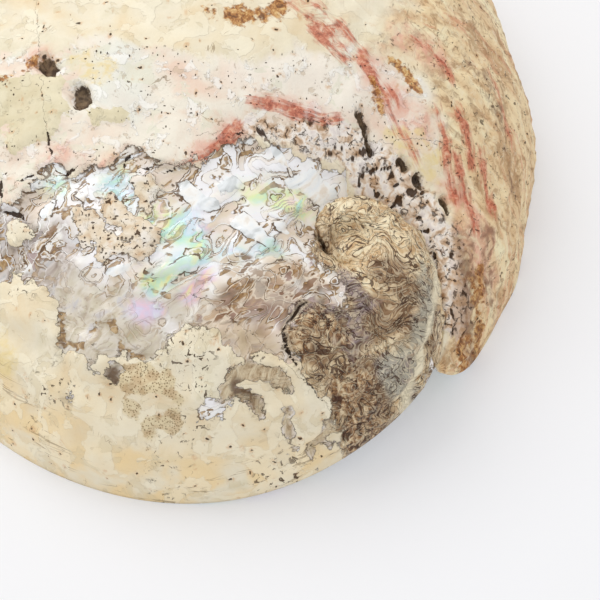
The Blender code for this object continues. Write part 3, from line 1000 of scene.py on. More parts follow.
# %% The height of the relief
# Sizes, heights and depths are in mm
LUMP_SIZE = 17
LUMP_HEIGHT = 0.8
RIPPLES = 9  # from the suture to the rim
RIPPLE_HEIGHT = 0.45
CRUST_HEIGHT = 0.9
TERRACE_HEIGHT = 0.22
SPIRE_TERRACE_HEIGHT = 0.26
CRUMPLE_HEIGHT = 0.8
PLATE_HEIGHT = 0.3
PIT_DEPTH = 0.6
PIT_GRAIN_HEIGHT = 0.25
FLAT_HEIGHT = 0.5
FLANK_CRUST_HEIGHT = 0.6
FLANK_CALM = 0.6  # how much of the lumps and ripples the flank lacks
CRUST_ROUGHNESS = ((0.16, 2.6, 4), (0.40, 7, 1))  # height and size in mm, seed
CRACK_DEPTH = 0.5
SLIT_DEPTH = 0.8
# Where the coarse and the fine relief fade out: shares at the suture and at the rim, and radii
COARSE_FADE = (0.12, 0.9, 2 * MM, 22 * MM)
FINE_FADE = (0.02, 0.97, 1 * MM, 4 * MM)
# Each row: growth angle in degrees, and how far the flank is drawn in there, in mm
FLANK_INSET = (
    (0, 0), (215, 0), (238, 1.7), (254, 1.7), (262, 0.3), (268, -0.2), (280, 0), (300, 0), (360, 0),
)
CREVICE_DEPTH = 1.0


def terraces(layer):
    level = np.floor(layer)
    return level + smoothstep(0, 0.35, layer - level)


def fading(across, radius, suture_share, rim_share, nearest, farthest):
    """1 in the open, 0 at the suture, at the rim and close to the coil axis."""
    open_side = smoothstep(0, suture_share, across) * (1 - smoothstep(rim_share, 1, across))
    return open_side * smoothstep(nearest, farthest, radius)


def coarse_relief(points, growth, across, area):
    """Lumps, growth ripples, collars and hollows, in mm."""
    lump = wander(points, LUMP_SIZE, 3)
    ripple = np.sin(TURN * RIPPLES * across + 3 * lump) * smoothstep(0.3, 0.7, across) * (growth > 0)
    calm = 1 - FLANK_CALM * area["tan"]
    mounds = bumps(points[..., 0], points[..., 1]) * (growth > 0)
    height = (LUMP_HEIGHT * lump + RIPPLE_HEIGHT * ripple) * calm + mounds
    return height - HOLLOW_DEPTH * smoothstep(-0.35, 0.35, area["hollow"])


def fine_relief(points, area):
    """The broken crust, the pearl's terraces, the spire's flakes, pits and cracks, in mm."""
    on_spire = smoothstep(-1, 1, area["spire"])
    on_pearl = smoothstep(-0.4, 0.6, area["bare"]) * (1 - on_spire)
    steps = terraces(area["layer"])
    height = -CRUST_HEIGHT * on_pearl + TERRACE_HEIGHT * steps * on_pearl
    crumple = np.abs(wander(twisted(points, 4, 1.5, 20), 4.4, 2, 24))
    height += (SPIRE_TERRACE_HEIGHT * steps + CRUMPLE_HEIGHT * crumple) * on_spire
    height += PLATE_HEIGHT * smoothstep(-0.4, 0.4, area["plate"]) * on_pearl
    grains = wander(twisted(points, 3, 0.8, 3), 1.7, 2, 9)
    worms = smoothstep(0.27, 0.50, grains)
    on_porous = smoothstep(-1, 2, area["porous"])
    height -= (PIT_DEPTH * worms + PIT_GRAIN_HEIGHT * grains) * on_porous
    in_crust = 1 - on_pearl - on_spire * 0.8
    rough = [tall * wander(points, size, 3, seed) for tall, size, seed in CRUST_ROUGHNESS]
    height += (rough[0] + rough[1]) * in_crust
    height += FLANK_CRUST_HEIGHT * area["tan"] * np.abs(wander(points, 2.8, 3, 31))
    height += FLAT_HEIGHT * smoothstep(-0.4, 0.4, area["flat"]) * in_crust
    cracks = CRACK_DEPTH * smoothstep(0.2, 0.6, area["crack"])
    height -= cracks + SLIT_DEPTH * smoothstep(-0.3, 0.3, area["slit"])
    area["pit"] = worms * on_porous
    return height


def relief(points, growth, across, radius, area):
    """Height above the smooth outside, in mm."""
    coarse = coarse_relief(points, growth, across, area)
    fine = fine_relief(points, area)
    inset = keyed(np.degrees(growth) + 0 * coarse, FLANK_INSET) * smoothstep(0.35, 0.75, across)
    inset = inset * (growth > 0) * (1 - smoothstep(0.97, 1, across))
    coarse = coarse * fading(across, radius, *COARSE_FADE)
    return coarse + fine * fading(across, radius, *FINE_FADE) - inset


def knob_over(u, v, z):
    """The spire's oldest, smooth tip: a small dome laid over the first turns of the coil."""
    gap = np.hypot(u - KNOB_PLACE[0], v - KNOB_PLACE[1])
    dome = APEX[2] / MM + KNOB_HEIGHT * (1 - (gap / KNOB_RADIUS) ** 2)
    share = 1 - smoothstep(0.75 * KNOB_RADIUS, 1.1 * KNOB_RADIUS, gap)
    return z + (dome * MM - z) * share


print("the crust's edge stands", CRUST_HEIGHT, "mm high, and each layer of pearl", TERRACE_HEIGHT, "mm")

# %% The points of the outside


def outside_grid(growth, across):
    """Points in rows of growth and columns across, and the fields there."""
    r, z = sections(growth, across)
    points = placed(growth[:, None], r, z)
    normals = np.cross(np.gradient(points, axis=0), np.gradient(points, axis=1))
    normals /= np.maximum(np.linalg.norm(normals, axis=-1, keepdims=True), 1e-12)
    normals *= np.sign(normals[..., 2:3].mean())
    area = surface_map(points, growth[:, None], across[None, :], r)
    height = relief(points, growth[:, None], across[None, :], r, area)
    points = points + normals * height[..., None] * MM
    u, v = (points[..., 0] - APEX[0]) / MM, (points[..., 1] - APEX[1]) / MM
    points[..., 2] = knob_over(u, v, points[..., 2])
    points[..., 2] -= CREVICE_DEPTH * MM * smoothstep(-0.4, 0.3, area["crevice"])
    return points, area


body_points, body_area = outside_grid(turn_growth, body_across)
spire_points, spire_area = outside_grid(spire_growth, spire_across)
print("bare pearl covers", round(float((body_area["bare"] > 0).mean()), 2), "of the last turn's points")

# %% [markdown]
# ## The inside
#
# The inside is a smooth bowl. The animal lines it while it lives, so it follows the outside at a distance
# but has none of its relief. A ball rolled along the outside's lower face gives that distance, and only
# the longer waves of the result are kept. A Solidify modifier would copy every pit to the inside.

# %% The bowl
ROLLING_STEPS = 41
BOWL_STEPS = 88
BOWL_MIDDLE = 0.06  # the innermost ring, as a share of the outermost
BOWL_CROWDING = 1.4  # above 1, the rings are closer together near the rim
BOWL_PASSES = 4  # of smoothing
BOWL_WAVES = 20  # longer waves than this many in a turn are kept


def rolled_under(growth, radii, ball):
    """Height of the lower side of the outside for a ball of the given radius that rolls along it."""
    across = np.linspace(0, 1, ROLLING_STEPS)
    turns = [sections(growth - TURN * n, across) for n in range(3)]
    outer_r = np.concatenate([r for r, _ in turns], axis=1)[:, None, :]
    outer_z = np.concatenate([z for _, z in turns], axis=1)[:, None, :]
    reach = ball**2 - (outer_r - radii[:, :, None]) ** 2
    return np.where(reach > 0, outer_z - np.sqrt(np.maximum(reach, 0)), np.inf).min(axis=2)


def bowl_rings(growth):
    """Radii of the inside rings at each growth angle, and their shares."""
    rim_r = edge_radius(growth)[:, None]
    ledge = LEDGE_WIDTH * keyed(np.degrees(growth), LEDGE_SHARE)[:, None]
    ledge = np.maximum(ledge, RIM_WIDTH + 1 * MM)
    shares = 1 - (1 - BOWL_MIDDLE) * np.linspace(0, 1, INSIDE_RINGS)[None, :] ** BOWL_CROWDING
    return rim_r, (rim_r - ledge) * shares, shares


def bowl_points(growth):
    """Grid of points over the inside: a row for each growth angle, columns from the rim to the middle."""
    even = np.arange(BOWL_STEPS) * TURN / BOWL_STEPS
    _, inner_r, shares = bowl_rings(even)
    rim_z = edge_height(even)[:, None]
    wall = WALL + (SPIRE_WALL - WALL) * (1 - smoothstep(*SPIRE_WALL_REACH, inner_r))[:, :, None]
    height = np.maximum(rolled_under(even, inner_r, wall), rim_z)
    for _ in range(BOWL_PASSES):
        around = (np.roll(height, 1, axis=0) + np.roll(height, -1, axis=0)) / 2
        height[:, 1:-1] = (height[:, :-2] + height[:, 2:] + 2 * around[:, 1:-1]) / 4
        height[:, -1] = (height[:, -2] + around[:, -1]) / 2
    waves = np.fft.rfft(height, axis=0)
    number = np.arange(len(waves))[:, None]
    waves /= 1 + (number / (BOWL_WAVES * shares)) ** 4
    share_of_wave = np.where((number == 0) | (number == BOWL_STEPS // 2), 1, 2) / BOWL_STEPS
    turning = np.exp(1j * growth[:, None] * number[:, 0][None, :])
    smooth = np.real(turning @ (waves * share_of_wave))

    rim_r, inner_r, _ = bowl_rings(growth)
    rim_z = edge_height(growth)[:, None]
    ceiling = np.maximum(rolled_under(growth, inner_r, THINNEST_WALL), rim_z)
    smooth = np.clip(smooth, rim_z, ceiling)
    smooth[:, :1] = rim_z
    r = np.concatenate([rim_r - RIM_WIDTH, inner_r], axis=1)
    z = np.concatenate([rim_z, smooth], axis=1)
    return placed(growth[:, None], r, z)


inside_points = bowl_points(turn_growth)
print("highest point of the bowl in mm:", round(float(inside_points[..., 2].max()) / MM, 1))

# %% [markdown]
# ## One closed mesh
#
# The grids are sewn into one closed mesh: each turn starts on the edge of the turn before it, the last turn
# runs to nothing at the lip, and the rim leads over into the bowl. Sewing by hand takes more care than a
# voxel remesh, but it keeps the fine rows where they are wanted.

# %% Sew the grids together


class Sewing:
    """Points and faces in the making, with the number of the point that each grid place uses."""

    def __init__(self):
        self.points = []
        self.faces = []
        self.sources = []

    def add(self, point, source):
        self.points.append(point)
        self.sources.append(source)
        return len(self.points) - 1

    def rows(self, grid, name, earlier):
        """Numbers of a grid's points; a row starts on the edge of the row a turn before, if there is one."""
        table = []
        for i, line in enumerate(grid.tolist()):
            before = earlier[i] if earlier and earlier[i] is not None else None
            row = [self.add(line[0], (name, i, 0)) if before is None else before]
            row += [self.add(p, (name, i, j)) for j, p in enumerate(line[1:], 1)]
            table.append(row)
        return table

    def quads(self, table):
        for row, after in zip(table, table[1:]):
            for j in range(len(row) - 1):
                self.faces.append((row[j], row[j + 1], after[j + 1], after[j]))

    def fan(self, loop, source):
        middle = self.add(np.mean([self.points[i] for i in loop], axis=0).tolist(), source)
        for a, b in zip(loop, loop[1:] + loop[:1]):
            self.faces.append((a, b, middle))


def sew():
    sewing = Sewing()
    rows_before = spire_rows - STEPS_PER_TURN
    first = sewing.rows(spire_points[:STEPS_PER_TURN], "spire", None)
    rest = sewing.rows(spire_points[STEPS_PER_TURN:], "spire_end", [row[-1] for row in first[:rows_before]])
    spire = first + rest
    earlier = [row[-1] for row in spire[-STEPS_PER_TURN:]]
    body = sewing.rows(body_points, "body", earlier)
    sewing.quads(spire)
    sewing.quads(body)
    nucleus = [row[0] for row in spire[:STEPS_PER_TURN]] + spire[0][:0:-1]
    sewing.fan(nucleus, ("spire", 0, 0))
    join_strip(sewing, spire[-1], body[0])
    lip_end = body[0][-1]
    for near, far in zip(body[-1], body[-1][1:]):
        sewing.faces.append((near, far, lip_end))
    outside_faces = len(sewing.faces)
    rim = [row[-1] for row in body]
    rings = [rim]
    for k, ring in enumerate(inside_points.transpose(1, 0, 2).tolist()):
        rings.append([sewing.add(p, ("bowl", i, k)) for i, p in enumerate(ring)])
    for ring, inner in zip(rings, rings[1:]):
        for i in range(STEPS_PER_TURN):
            after = (i + 1) % STEPS_PER_TURN
            sewing.faces.append((ring[i], inner[i], inner[after], ring[after]))
    sewing.fan(rings[-1], ("bowl", 0, INSIDE_RINGS))
    return sewing, outside_faces


def join_strip(sewing, coarse, fine):
    """Triangles between a row with few points and a row with a whole number of times as many."""
    ratio = (len(fine) - 1) // (len(coarse) - 1)
    half = ratio // 2
    for j in range(len(coarse) - 1):
        k = j * ratio
        for m in range(ratio):
            corner = coarse[j] if m < half else coarse[j + 1]
            sewing.faces.append((corner, fine[k + m + 1], fine[k + m]))
        sewing.faces.append((coarse[j], coarse[j + 1], fine[k + half]))


sewing, outside_faces = sew()
print("points:", len(sewing.points), " faces:", len(sewing.faces))

# %% Make the mesh and hang the fields on it
FIELDS = list(body_area)


def field_values(name):
    """One field's value at each point of the sewn mesh; the bowl has zero."""
    grids = {
        "body": body_area[name],
        "spire": spire_area[name],
        "spire_end": spire_area[name][STEPS_PER_TURN:],
    }
    return [float(grids[grid][i, j]) if grid in grids else 0.0 for grid, i, j in sewing.sources]


def make_shell_mesh():
    mesh = bpy.data.meshes.new("weathered_shell")
    mesh.from_pydata(sewing.points, [], sewing.faces)
    bm = bmesh.new()
    bm.from_mesh(mesh)
    bm.faces.ensure_lookup_table()
    for face in bm.faces[outside_faces:]:
        face.material_index = 1
    bmesh.ops.recalc_face_normals(bm, faces=bm.faces)
    bm.to_mesh(mesh)
    bm.free()
    mesh.shade_smooth()
    return mesh


shell_mesh = make_shell_mesh()
shell = bpy.data.objects.new("weathered_shell", shell_mesh)
bpy.context.scene.collection.objects.link(shell)
print("fields:", len(FIELDS), " faces:", len(shell_mesh.polygons))

# %% [markdown]
# ## Drill the breathing holes
#
# An abalone breathes through a row of holes and closes the old ones as it grows. Only the last few are
# open. They are cut with cone-shaped cutters, a little wider outside than inside, by a Boolean modifier
# that is applied, so that no cutter stays in the scene. Cutting makes new points, and each point of the cut
# mesh takes its fields from the nearest point of the mesh before.

# %% Cut, then restore the fields
HOLE_SIDES = 40
HOLE_FLARE = (0.7, 1.5)  # a cutter's radius at its foot and at its top, as shares of the hole's size
CUTTER_LENGTH = 60 * MM


def cut_holes(shell):
    cutters = []
    for degrees, out, radius in OPEN_HOLES:
        bpy.ops.mesh.primitive_cone_add(
            vertices=HOLE_SIDES,
            radius1=HOLE_FLARE[0] * radius * MM,
            radius2=HOLE_FLARE[1] * radius * MM,
            depth=CUTTER_LENGTH,
        )
        cutter = bpy.context.object
        cutter.location = hole_place(degrees, out)
        cutter.location.z = CUTTER_LENGTH / 2
        cut = shell.modifiers.new("breathing_hole", "BOOLEAN")
        cut.operation = "DIFFERENCE"
        cut.object = cutter
        cutters.append(cutter)
    evaluated = shell.evaluated_get(bpy.context.evaluated_depsgraph_get())
    drilled = bpy.data.meshes.new_from_object(evaluated)
    shell.modifiers.clear()
    shell.data = drilled
    for cutter in cutters:
        bpy.data.objects.remove(cutter)


def restore_fields(shell):
    tree = kdtree.KDTree(len(sewing.points))
    for i, point in enumerate(sewing.points):
        tree.insert(point, i)
    tree.balance()
    nearest = [tree.find(vertex.co)[1] for vertex in shell.data.vertices]
    for name in FIELDS:
        values = np.array(field_values(name), dtype=np.float32)[nearest]
        store = shell.data.attributes.new(name, "FLOAT", "POINT")
        store.data.foreach_set("value", values)


cut_holes(shell)
restore_fields(shell)
triangles = sum(len(face.vertices) - 2 for face in shell.data.polygons)
print("triangles after drilling:", triangles)

# %% [markdown]
# ## Shared effects
#
# Some effects serve both the outside and the bowl, or several finishes of the outside. Each is a node group
# with named inputs and outputs, so that it is built once. Mother of pearl is made of very thin layers that
# split light into colours: the group "Pearl tint" gives soft rainbow colours that drift from place to
# place. "Worn layers" turns a smooth field into flat levels with a dark line at each step, partly painted
# shadow, and a light lip, a painted highlight, like the contour lines of a map. "Bore pits" scatters small
# rice-shaped pits, "Hairlines" draws thin cracks that taper off, and "Flakes" gives each crumpled flake its
# own tone.

# %% Helpers for making a group


def new_group(name, inputs, outputs):
    """A node group whose inputs and outputs are numbers, but Where is a place and Colour is a colour."""
    kinds = {"Where": "NodeSocketVector", "Colour": "NodeSocketColor"}
    group = bpy.data.node_groups.new(name, "ShaderNodeTree")
    for side, labels in (("INPUT", inputs), ("OUTPUT", outputs)):
        for label in labels:
            kind = kinds.get(label, "NodeSocketFloat")
            group.interface.new_socket(label, in_out=side, socket_type=kind)
    return group, group.nodes.new("NodeGroupInput").outputs, group.nodes.new("NodeGroupOutput").inputs


def use_group(tree, group, **inputs):
    labels = {label.replace("_", " ").capitalize(): value for label, value in inputs.items()}
    return put(tree, "ShaderNodeGroup", labels, node_tree=group).outputs


def shrunk(tree, where, size):
    """The places divided by a size in mm."""
    return stretched(tree, where, over(tree, 1.0, size))


# %% Pearl tint


def make_pearl_tint():
    inputs = ["Where", "Swirl size", "Hue", "Spread"]
    group, given, result = new_group("Pearl tint", inputs, ["Colour"])
    swirl = clouds(group, shrunk(group, given["Where"], given["Swirl size"]), 1.0, 3.0, 1.2)
    away = times(group, minus(group, swirl, 0.5), times(group, given["Spread"], 4.0))
    hue = calc(group, "FRACT", plus(group, given["Hue"], plus(group, away, 1.0)))
    colours = ramp(group, hue, [
        (0.00, 246, 208, 232),
        (0.14, 224, 214, 244),
        (0.28, 232, 240, 252),
        (0.42, 196, 234, 246),
        (0.55, 192, 244, 216),
        (0.68, 234, 246, 170),
        (0.80, 252, 244, 204),
        (0.92, 252, 226, 212),
        (1.00, 246, 208, 232),
    ])
    group.links.new(colours, result["Colour"])
    return group


pearl_tint = make_pearl_tint()
print("group:", pearl_tint.name)

# %% Worn layers


def make_worn_layers():
    outputs = ["Level", "Part", "Line", "Lip"]
    group, given, result = new_group("Worn layers", ["Layer", "Line", "Lip"], outputs)
    level = calc(group, "FLOOR", given["Layer"])
    part = minus(group, given["Layer"], level)
    chance = put(group, "ShaderNodeTexWhiteNoise", {"W": level}, noise_dimensions="1D").outputs["Value"]
    low_side = over(group, part, given["Line"])
    # Line is a dark band at each step, partly a brown layer edge and partly painted shadow; Lip is a light
    # band just after it, a painted highlight
    line = between(group, low_side, 0.5, 1.0, 1.0, 0.0)
    lip_low = between(group, low_side, 1.0, 1.4, 0.0, 1.0)
    lip_high = between(group, over(group, part, given["Lip"]), 0.6, 1.0, 1.0, 0.0)
    group.links.new(chance, result["Level"])
    group.links.new(part, result["Part"])
    group.links.new(line, result["Line"])
    group.links.new(times(group, lip_low, lip_high), result["Lip"])
    return group


worn_layers = make_worn_layers()
print("group:", worn_layers.name)

# %% Bore pits


def make_bore_pits():
    inputs = ["Where", "Spacing", "Width", "Share"]
    group, given, result = new_group("Bore pits", inputs, ["Pit", "Ring"])
    scaled = shrunk(group, given["Where"], given["Spacing"])
    scaled = jostled(group, scaled, 5.0, 1.0, 0.16)
    pits, rings = [], []
    for stretch in ((1.0, 1.9, 1.4), (2.0, 1.0, 1.5)):
        along = along_arrow(group, "MULTIPLY", scaled, stretch)
        cells = put(group, "ShaderNodeTexVoronoi", {"Vector": along, "Scale": 1.0}).outputs
        chance = put(group, "ShaderNodeSeparateColor", {"Color": cells["Color"]}).outputs
        width = times(group, given["Width"], plus(group, chance["Green"], 0.5))
        gap = over(group, cells["Distance"], width)
        chosen = calc(group, "LESS_THAN", chance["Red"], given["Share"])
        pits.append(times(group, between(group, gap, 0.6, 1.0, 1.0, 0.0), chosen))
        rings.append(times(group, between(group, gap, 1.0, 3.2, 1.0, 0.0), chosen))
    group.links.new(larger(group, *pits), result["Pit"])
    group.links.new(larger(group, *rings), result["Ring"])
    return group


bore_pits = make_bore_pits()
print("group:", bore_pits.name)

# %% Hairlines


def make_hairlines():
    inputs = ["Where", "Size", "Width", "Share"]
    group, given, result = new_group("Hairlines", inputs, ["Line"])
    scaled = shrunk(group, given["Where"], given["Size"])
    wave = calc(group, "ABSOLUTE", minus(group, clouds(group, scaled, 1.0, 2.0, 1.5), 0.5))
    start = minus(group, 0.98, times(group, given["Share"], 0.96))
    gate = times(group, minus(group, clouds(group, scaled, 0.8, 1.0), start), 9.0)
    gate = larger(group, calc(group, "MINIMUM", gate, 1.0), 0.001)
    width = times(group, given["Width"], gate)
    group.links.new(between(group, over(group, wave, width), 0.5, 1.0, 1.0, 0.0), result["Line"])
    return group


hairlines = make_hairlines()
print("group:", hairlines.name)

# %% Flakes


def make_flakes():
    inputs = ["Where", "Size", "Crumple"]
    group, given, result = new_group("Flakes", inputs, ["Tone", "Edge"])
    moved = jostled(group, shrunk(group, given["Where"], given["Size"]), 1.1, 2.0, given["Crumple"])
    cells = put(group, "ShaderNodeTexVoronoi", {"Vector": moved, "Scale": 1.0}).outputs
    tone = put(group, "ShaderNodeSeparateColor", {"Color": cells["Color"]}).outputs["Green"]
    edges = put(group, "ShaderNodeTexVoronoi", {"Vector": moved, "Scale": 1.0}, feature="DISTANCE_TO_EDGE")
    group.links.new(tone, result["Tone"])
    group.links.new(edges.outputs["Distance"], result["Edge"])
    return group


flakes = make_flakes()
print("group:", flakes.name)

# %% [markdown]
# ## The outside finish
#
# One material covers the outside, because its finishes run into each other. It goes from the bottom layer up,
# as the shell itself is built: mother of pearl, then the brown flakes of the spire, then the crust with its
# stains and pits. Each upper layer is cut out by a field of the mesh, with a little noise to fray its edge.

# %% The outside's material
outside_finish, outside, outside_surface = new_material("weathered_crust")
where = places(outside)


def report(step):
    print("nodes up to", step + ":", len(outside.nodes))


report("the start")

# %% Directions that run with the growth and with the grain


def growth_places(tree, across_size, along_size):
    """Places measured from the suture and along the growth, stretched by two sizes in mm."""
    across = over(tree, field(tree, "from_suture"), across_size)
    along = over(tree, field(tree, "along"), along_size)
    return put(tree, "ShaderNodeCombineXYZ", {"X": across, "Y": along}).outputs[0]


def grain_places(tree, where):
    """Places squeezed along the pearl's grain."""
    turned = {"Vector": where, "Rotation": (0, 0, GRAIN_TURN), "Scale": (GRAIN_STRETCH, 1, 1)}
    return put(tree, "ShaderNodeMapping", turned, vector_type="TEXTURE").outputs[0]


def stain(tree, fray, name, swing, low=-0.3, high=0.4, most=1.0):
    """How much of a stain there is: a field of the mesh, with its edge frayed by so many mm."""
    return between(tree, times_plus(tree, fray, swing, field(tree, name)), low, high, 0.0, most)


grain = grain_places(outside, where)
report("the directions")

# %% [markdown]
# ### Worn mother of pearl
#
# Where the crust is gone, the pearl has worn through layer after layer, so it shows flat plates with stepped
# edges, like a map with contour lines. Rainbow paint alone would look like plastic. So the layers' numbers
# choose a tone for each plate, rainbow tints lie over them in a few places only, and the steps get a dark
# line that is partly painted shadow, a light lip that is a painted highlight, and some brown dirt. Near the
# spire, the pearl has split into glassy shards.

# %% Plates of pearl


def pearl_plates(tree, grain, steps, on_plate, shade):
    """Colour of the plates: white to tan by layer, grey and murky in patches, with rainbow tints."""
    plate = ramp(tree, steps["Level"], [
        (0.0, 232, 216, 194),
        (0.14, 252, 252, 252),
        (0.36, 228, 236, 244),
        (0.50, 250, 244, 234),
        (0.66, 254, 254, 254),
        (0.82, 220, 204, 180),
        (0.93, 196, 166, 126),
    ], "CONSTANT")
    milky = between(tree, clouds(tree, grain, 4.5, 3.0, 0.6), 0.42, 0.62, 0.0, 0.6)
    plate = blend(tree, milky, plate, paint(254, 254, 254))
    grey = ramp(tree, shade, [
        (0.34, 182, 166, 138),
        (0.46, 208, 198, 172),
        (0.56, 224, 216, 194),
        (0.66, 208, 202, 196),
    ])
    plate = blend(tree, times(tree, field(tree, "grey"), 0.9), plate, grey)
    murky = ramp(tree, shade, [
        (0.36, 116, 98, 80),
        (0.46, 168, 156, 142),
        (0.56, 206, 198, 188),
        (0.66, 172, 170, 166),
    ])
    plate = blend(tree, times(tree, field(tree, "murky"), 0.85), plate, murky)
    hue = field(tree, "hue")
    tint = use_group(tree, pearl_tint, where=grain, swirl_size=3.2, hue=hue, spread=0.30)["Colour"]
    vivid = field(tree, "vivid")
    plate = blend(tree, between(tree, vivid, 0.0, 1.0, 0.08, 0.82), plate, tint)
    clear = ramp(tree, clouds(tree, grain, 3.6, 3.0, 0.8), [
        (0.36, 212, 216, 216),
        (0.46, 244, 248, 250),
        (0.56, 255, 254, 250),
        (0.66, 240, 228, 212),
    ])
    clear = blend(tree, between(tree, vivid, 0.2, 1.0, 0.0, 0.6), clear, tint)
    return blend(tree, times(tree, on_plate, 0.92), plate, clear)


# %% Dusky pearl and glassy shards near the spire


def dusky_shards(tree, grain, shade, plate):
    """The plates turned brown and lilac near the spire, and glassy shards over them: colour and height."""
    dusk = between(tree, field(tree, "lilac"), -1.8, 1.8, 0.0, 0.85)
    dusky = ramp(tree, shade, [
        (0.36, 94, 64, 40),
        (0.46, 142, 108, 82),
        (0.56, 166, 136, 126),
        (0.66, 210, 184, 150),
    ])
    plate = blend(tree, dusk, plate, dusky)
    cells = use_group(tree, flakes, where=grain, size=1.9, crumple=1.4)
    glass = ramp(tree, cells["Tone"], [
        (0.0, 150, 118, 88),
        (0.20, 214, 198, 182),
        (0.42, 252, 250, 246),
        (0.60, 226, 206, 182),
        (0.78, 186, 164, 160),
        (0.90, 254, 254, 252),
    ], "CONSTANT")
    glass = blend(tree, times(tree, dusk, 0.55), glass, dusky)
    edge = between(tree, cells["Edge"], 0.04, 0.09, 0.9, 0.0)
    glass = blend(tree, edge, glass, paint(254, 250, 242))
    shards = between(tree, field(tree, "shards"), -0.8, 0.8, 0.0, 0.9)
    return blend(tree, shards, plate, glass), times(tree, shards, cells["Tone"])


# %% Thin places where the crust lets the pearl shimmer through


def thin_crust(tree):
    """Colour of the small windows in the crust: grey and tan streaks, brown in places."""
    streaks = clouds(tree, growth_places(tree, 2.2, 1.3), 1.0, 5.0, 0.8, 0.7)
    colour = ramp(tree, streaks, [
        (0.34, 148, 118, 82),
        (0.46, 202, 180, 146),
        (0.60, 226, 210, 178),
    ])
    brown = between(tree, field(tree, "brown"), -0.5, 0.5, 0.0, 0.85)
    return blend(tree, brown, colour, paint(96, 66, 42))


# %% Mother of pearl where the crust is gone


def pearl_finish(tree, where, grain):
    """Colour, roughness and height of the worn pearl."""
    shade = clouds(tree, grain, 3.2, 4.0, 0.8)
    fine = minus(tree, clouds(tree, where, 2.2, 2.0, 0.5), 0.5)
    layer = times_plus(tree, fine, 1.0, field(tree, "layer"))
    steps = use_group(tree, worn_layers, layer=layer, line=0.09, lip=0.27)
    plate_edge = times_plus(tree, fine, 1.4, field(tree, "plate"))
    on_plate = between(tree, plate_edge, 0.0, 0.12)
    grey = field(tree, "grey")
    lined = minus(tree, 1.0, larger(tree, on_plate, times(tree, grey, 0.7)))
    gate = between(tree, clouds(tree, grain, 3.0, 2.0, 0.8), 0.47, 0.55)
    plate = pearl_plates(tree, grain, steps, on_plate, shade)
    plate, shard_height = dusky_shards(tree, grain, shade, plate)

    near_step = times(tree, between(tree, steps["Part"], 0.32, 0.38, 1.0, 0.0), gate)
    spots = times_plus(tree, field(tree, "murky"), 0.035, clouds(tree, grain, 2.1, 2.0, 1.0))
    gone = times(tree, larger(tree, near_step, between(tree, spots, 0.605, 0.625)), lined)
    vein = between(tree, times_plus(tree, fine, 2.0, field(tree, "veins")), -0.15, 0.10)
    gone = times(tree, larger(tree, gone, vein), times_plus(tree, field(tree, "vivid"), -0.4, 0.9))
    dirt = ramp(tree, clouds(tree, where, 1.1, 3.0), [
        (0.36, 122, 88, 46),
        (0.50, 164, 128, 78),
        (0.64, 204, 174, 130),
    ])
    plate = blend(tree, gone, plate, dirt)
    # A light lip along each step: a painted highlight
    lip = times(tree, steps["Lip"], times(tree, lined, 0.75))
    plate = blend(tree, lip, plate, paint(255, 254, 252))
    # Dark lines at the steps and round the plates: partly brown layer edges, partly painted shadow
    rim = times(tree, between(tree, calc(tree, "ABSOLUTE", plate_edge), 0.05, 0.22, 1.0, 0.0), gate)
    line = times(tree, larger(tree, steps["Line"], rim), times_plus(tree, gate, 0.65, 0.25))
    line = times(tree, line, times_plus(tree, grey, -0.8, 1.0))
    line = times(tree, line, minus(tree, 1.0, between(tree, plate_edge, 0.25, 0.35)))
    colour = blend(tree, line, plate, paint(106, 80, 54))
    warm = times(tree, field(tree, "warm"), 0.6)
    colour = blend(tree, warm, colour, paint(238, 214, 180), "MULTIPLY")
    colour = blend(tree, field(tree, "window"), colour, thin_crust(tree))
    height = times_plus(tree, line, -0.14, times(tree, gone, -0.18))
    height = times_plus(tree, shard_height, 0.35, height)
    return colour, between(tree, gone, 0.0, 1.0, 0.16, 0.34), height


pearl, pearl_rough, pearl_height = pearl_finish(outside, where, grain)
report("the pearl")

# %% [markdown]
# ### The spire's flakes
#
# The spire is the oldest part. Its layers have split into thin brown flakes that curl round each other. Cells
# would look like gravel here. So the places are bent by broad noise and squeezed along one axis, and noise
# made from these flowing places, cut into layers, gives long curved flakes with dark gaps between them.

# %% Flowing places
FLOW_BEND_SIZE = 9.0  # size of the bends, in mm
FLOW_BEND = 26.0  # how far the places are bent, in mm
FLOW_SQUEEZE = (0.34, 1.0, 0.7)


def flowing_places(tree, where):
    bent = jostled(tree, where, 1 / FLOW_BEND_SIZE, 1.0, FLOW_BEND)
    return along_arrow(tree, "MULTIPLY", bent, FLOW_SQUEEZE)


flowing = flowing_places(outside, where)
report("the flowing places")

# %% Tones of the flakes


def flake_tones(tree, where, grain, tone, umber_share, dark):
    """Colour of the flakes: tan, umber, banded grey and lilac, dark brown and pale, each in its patches."""
    flake = ramp(tree, tone, [
        (0.36, 196, 158, 114),
        (0.46, 224, 194, 150),
        (0.58, 238, 214, 174),
        (0.72, 250, 236, 202),
    ])
    umber = ramp(tree, tone, [
        (0.36, 80, 52, 32),
        (0.46, 122, 88, 60),
        (0.58, 156, 122, 88),
        (0.72, 198, 168, 128),
    ])
    flake = blend(tree, times(tree, umber_share, 0.9), flake, umber)
    band = ramp(tree, clouds(tree, grain, 1.8, 3.0, 0.8), [
        (0.34, 86, 64, 52),
        (0.46, 128, 108, 98),
        (0.56, 156, 140, 146),
        (0.66, 184, 164, 146),
    ])
    flake = blend(tree, between(tree, field(tree, "lilac"), -1.2, 1.2, 0.0, 0.85), flake, band)
    brown = ramp(tree, clouds(tree, where, 1.5, 4.0, 0.8), [
        (0.36, 64, 38, 20),
        (0.44, 118, 80, 50),
        (0.53, 176, 138, 98),
        (0.64, 228, 204, 166),
    ])
    return blend(tree, times(tree, dark, 0.92), flake, brown)


# %% Brown flakes of the spire


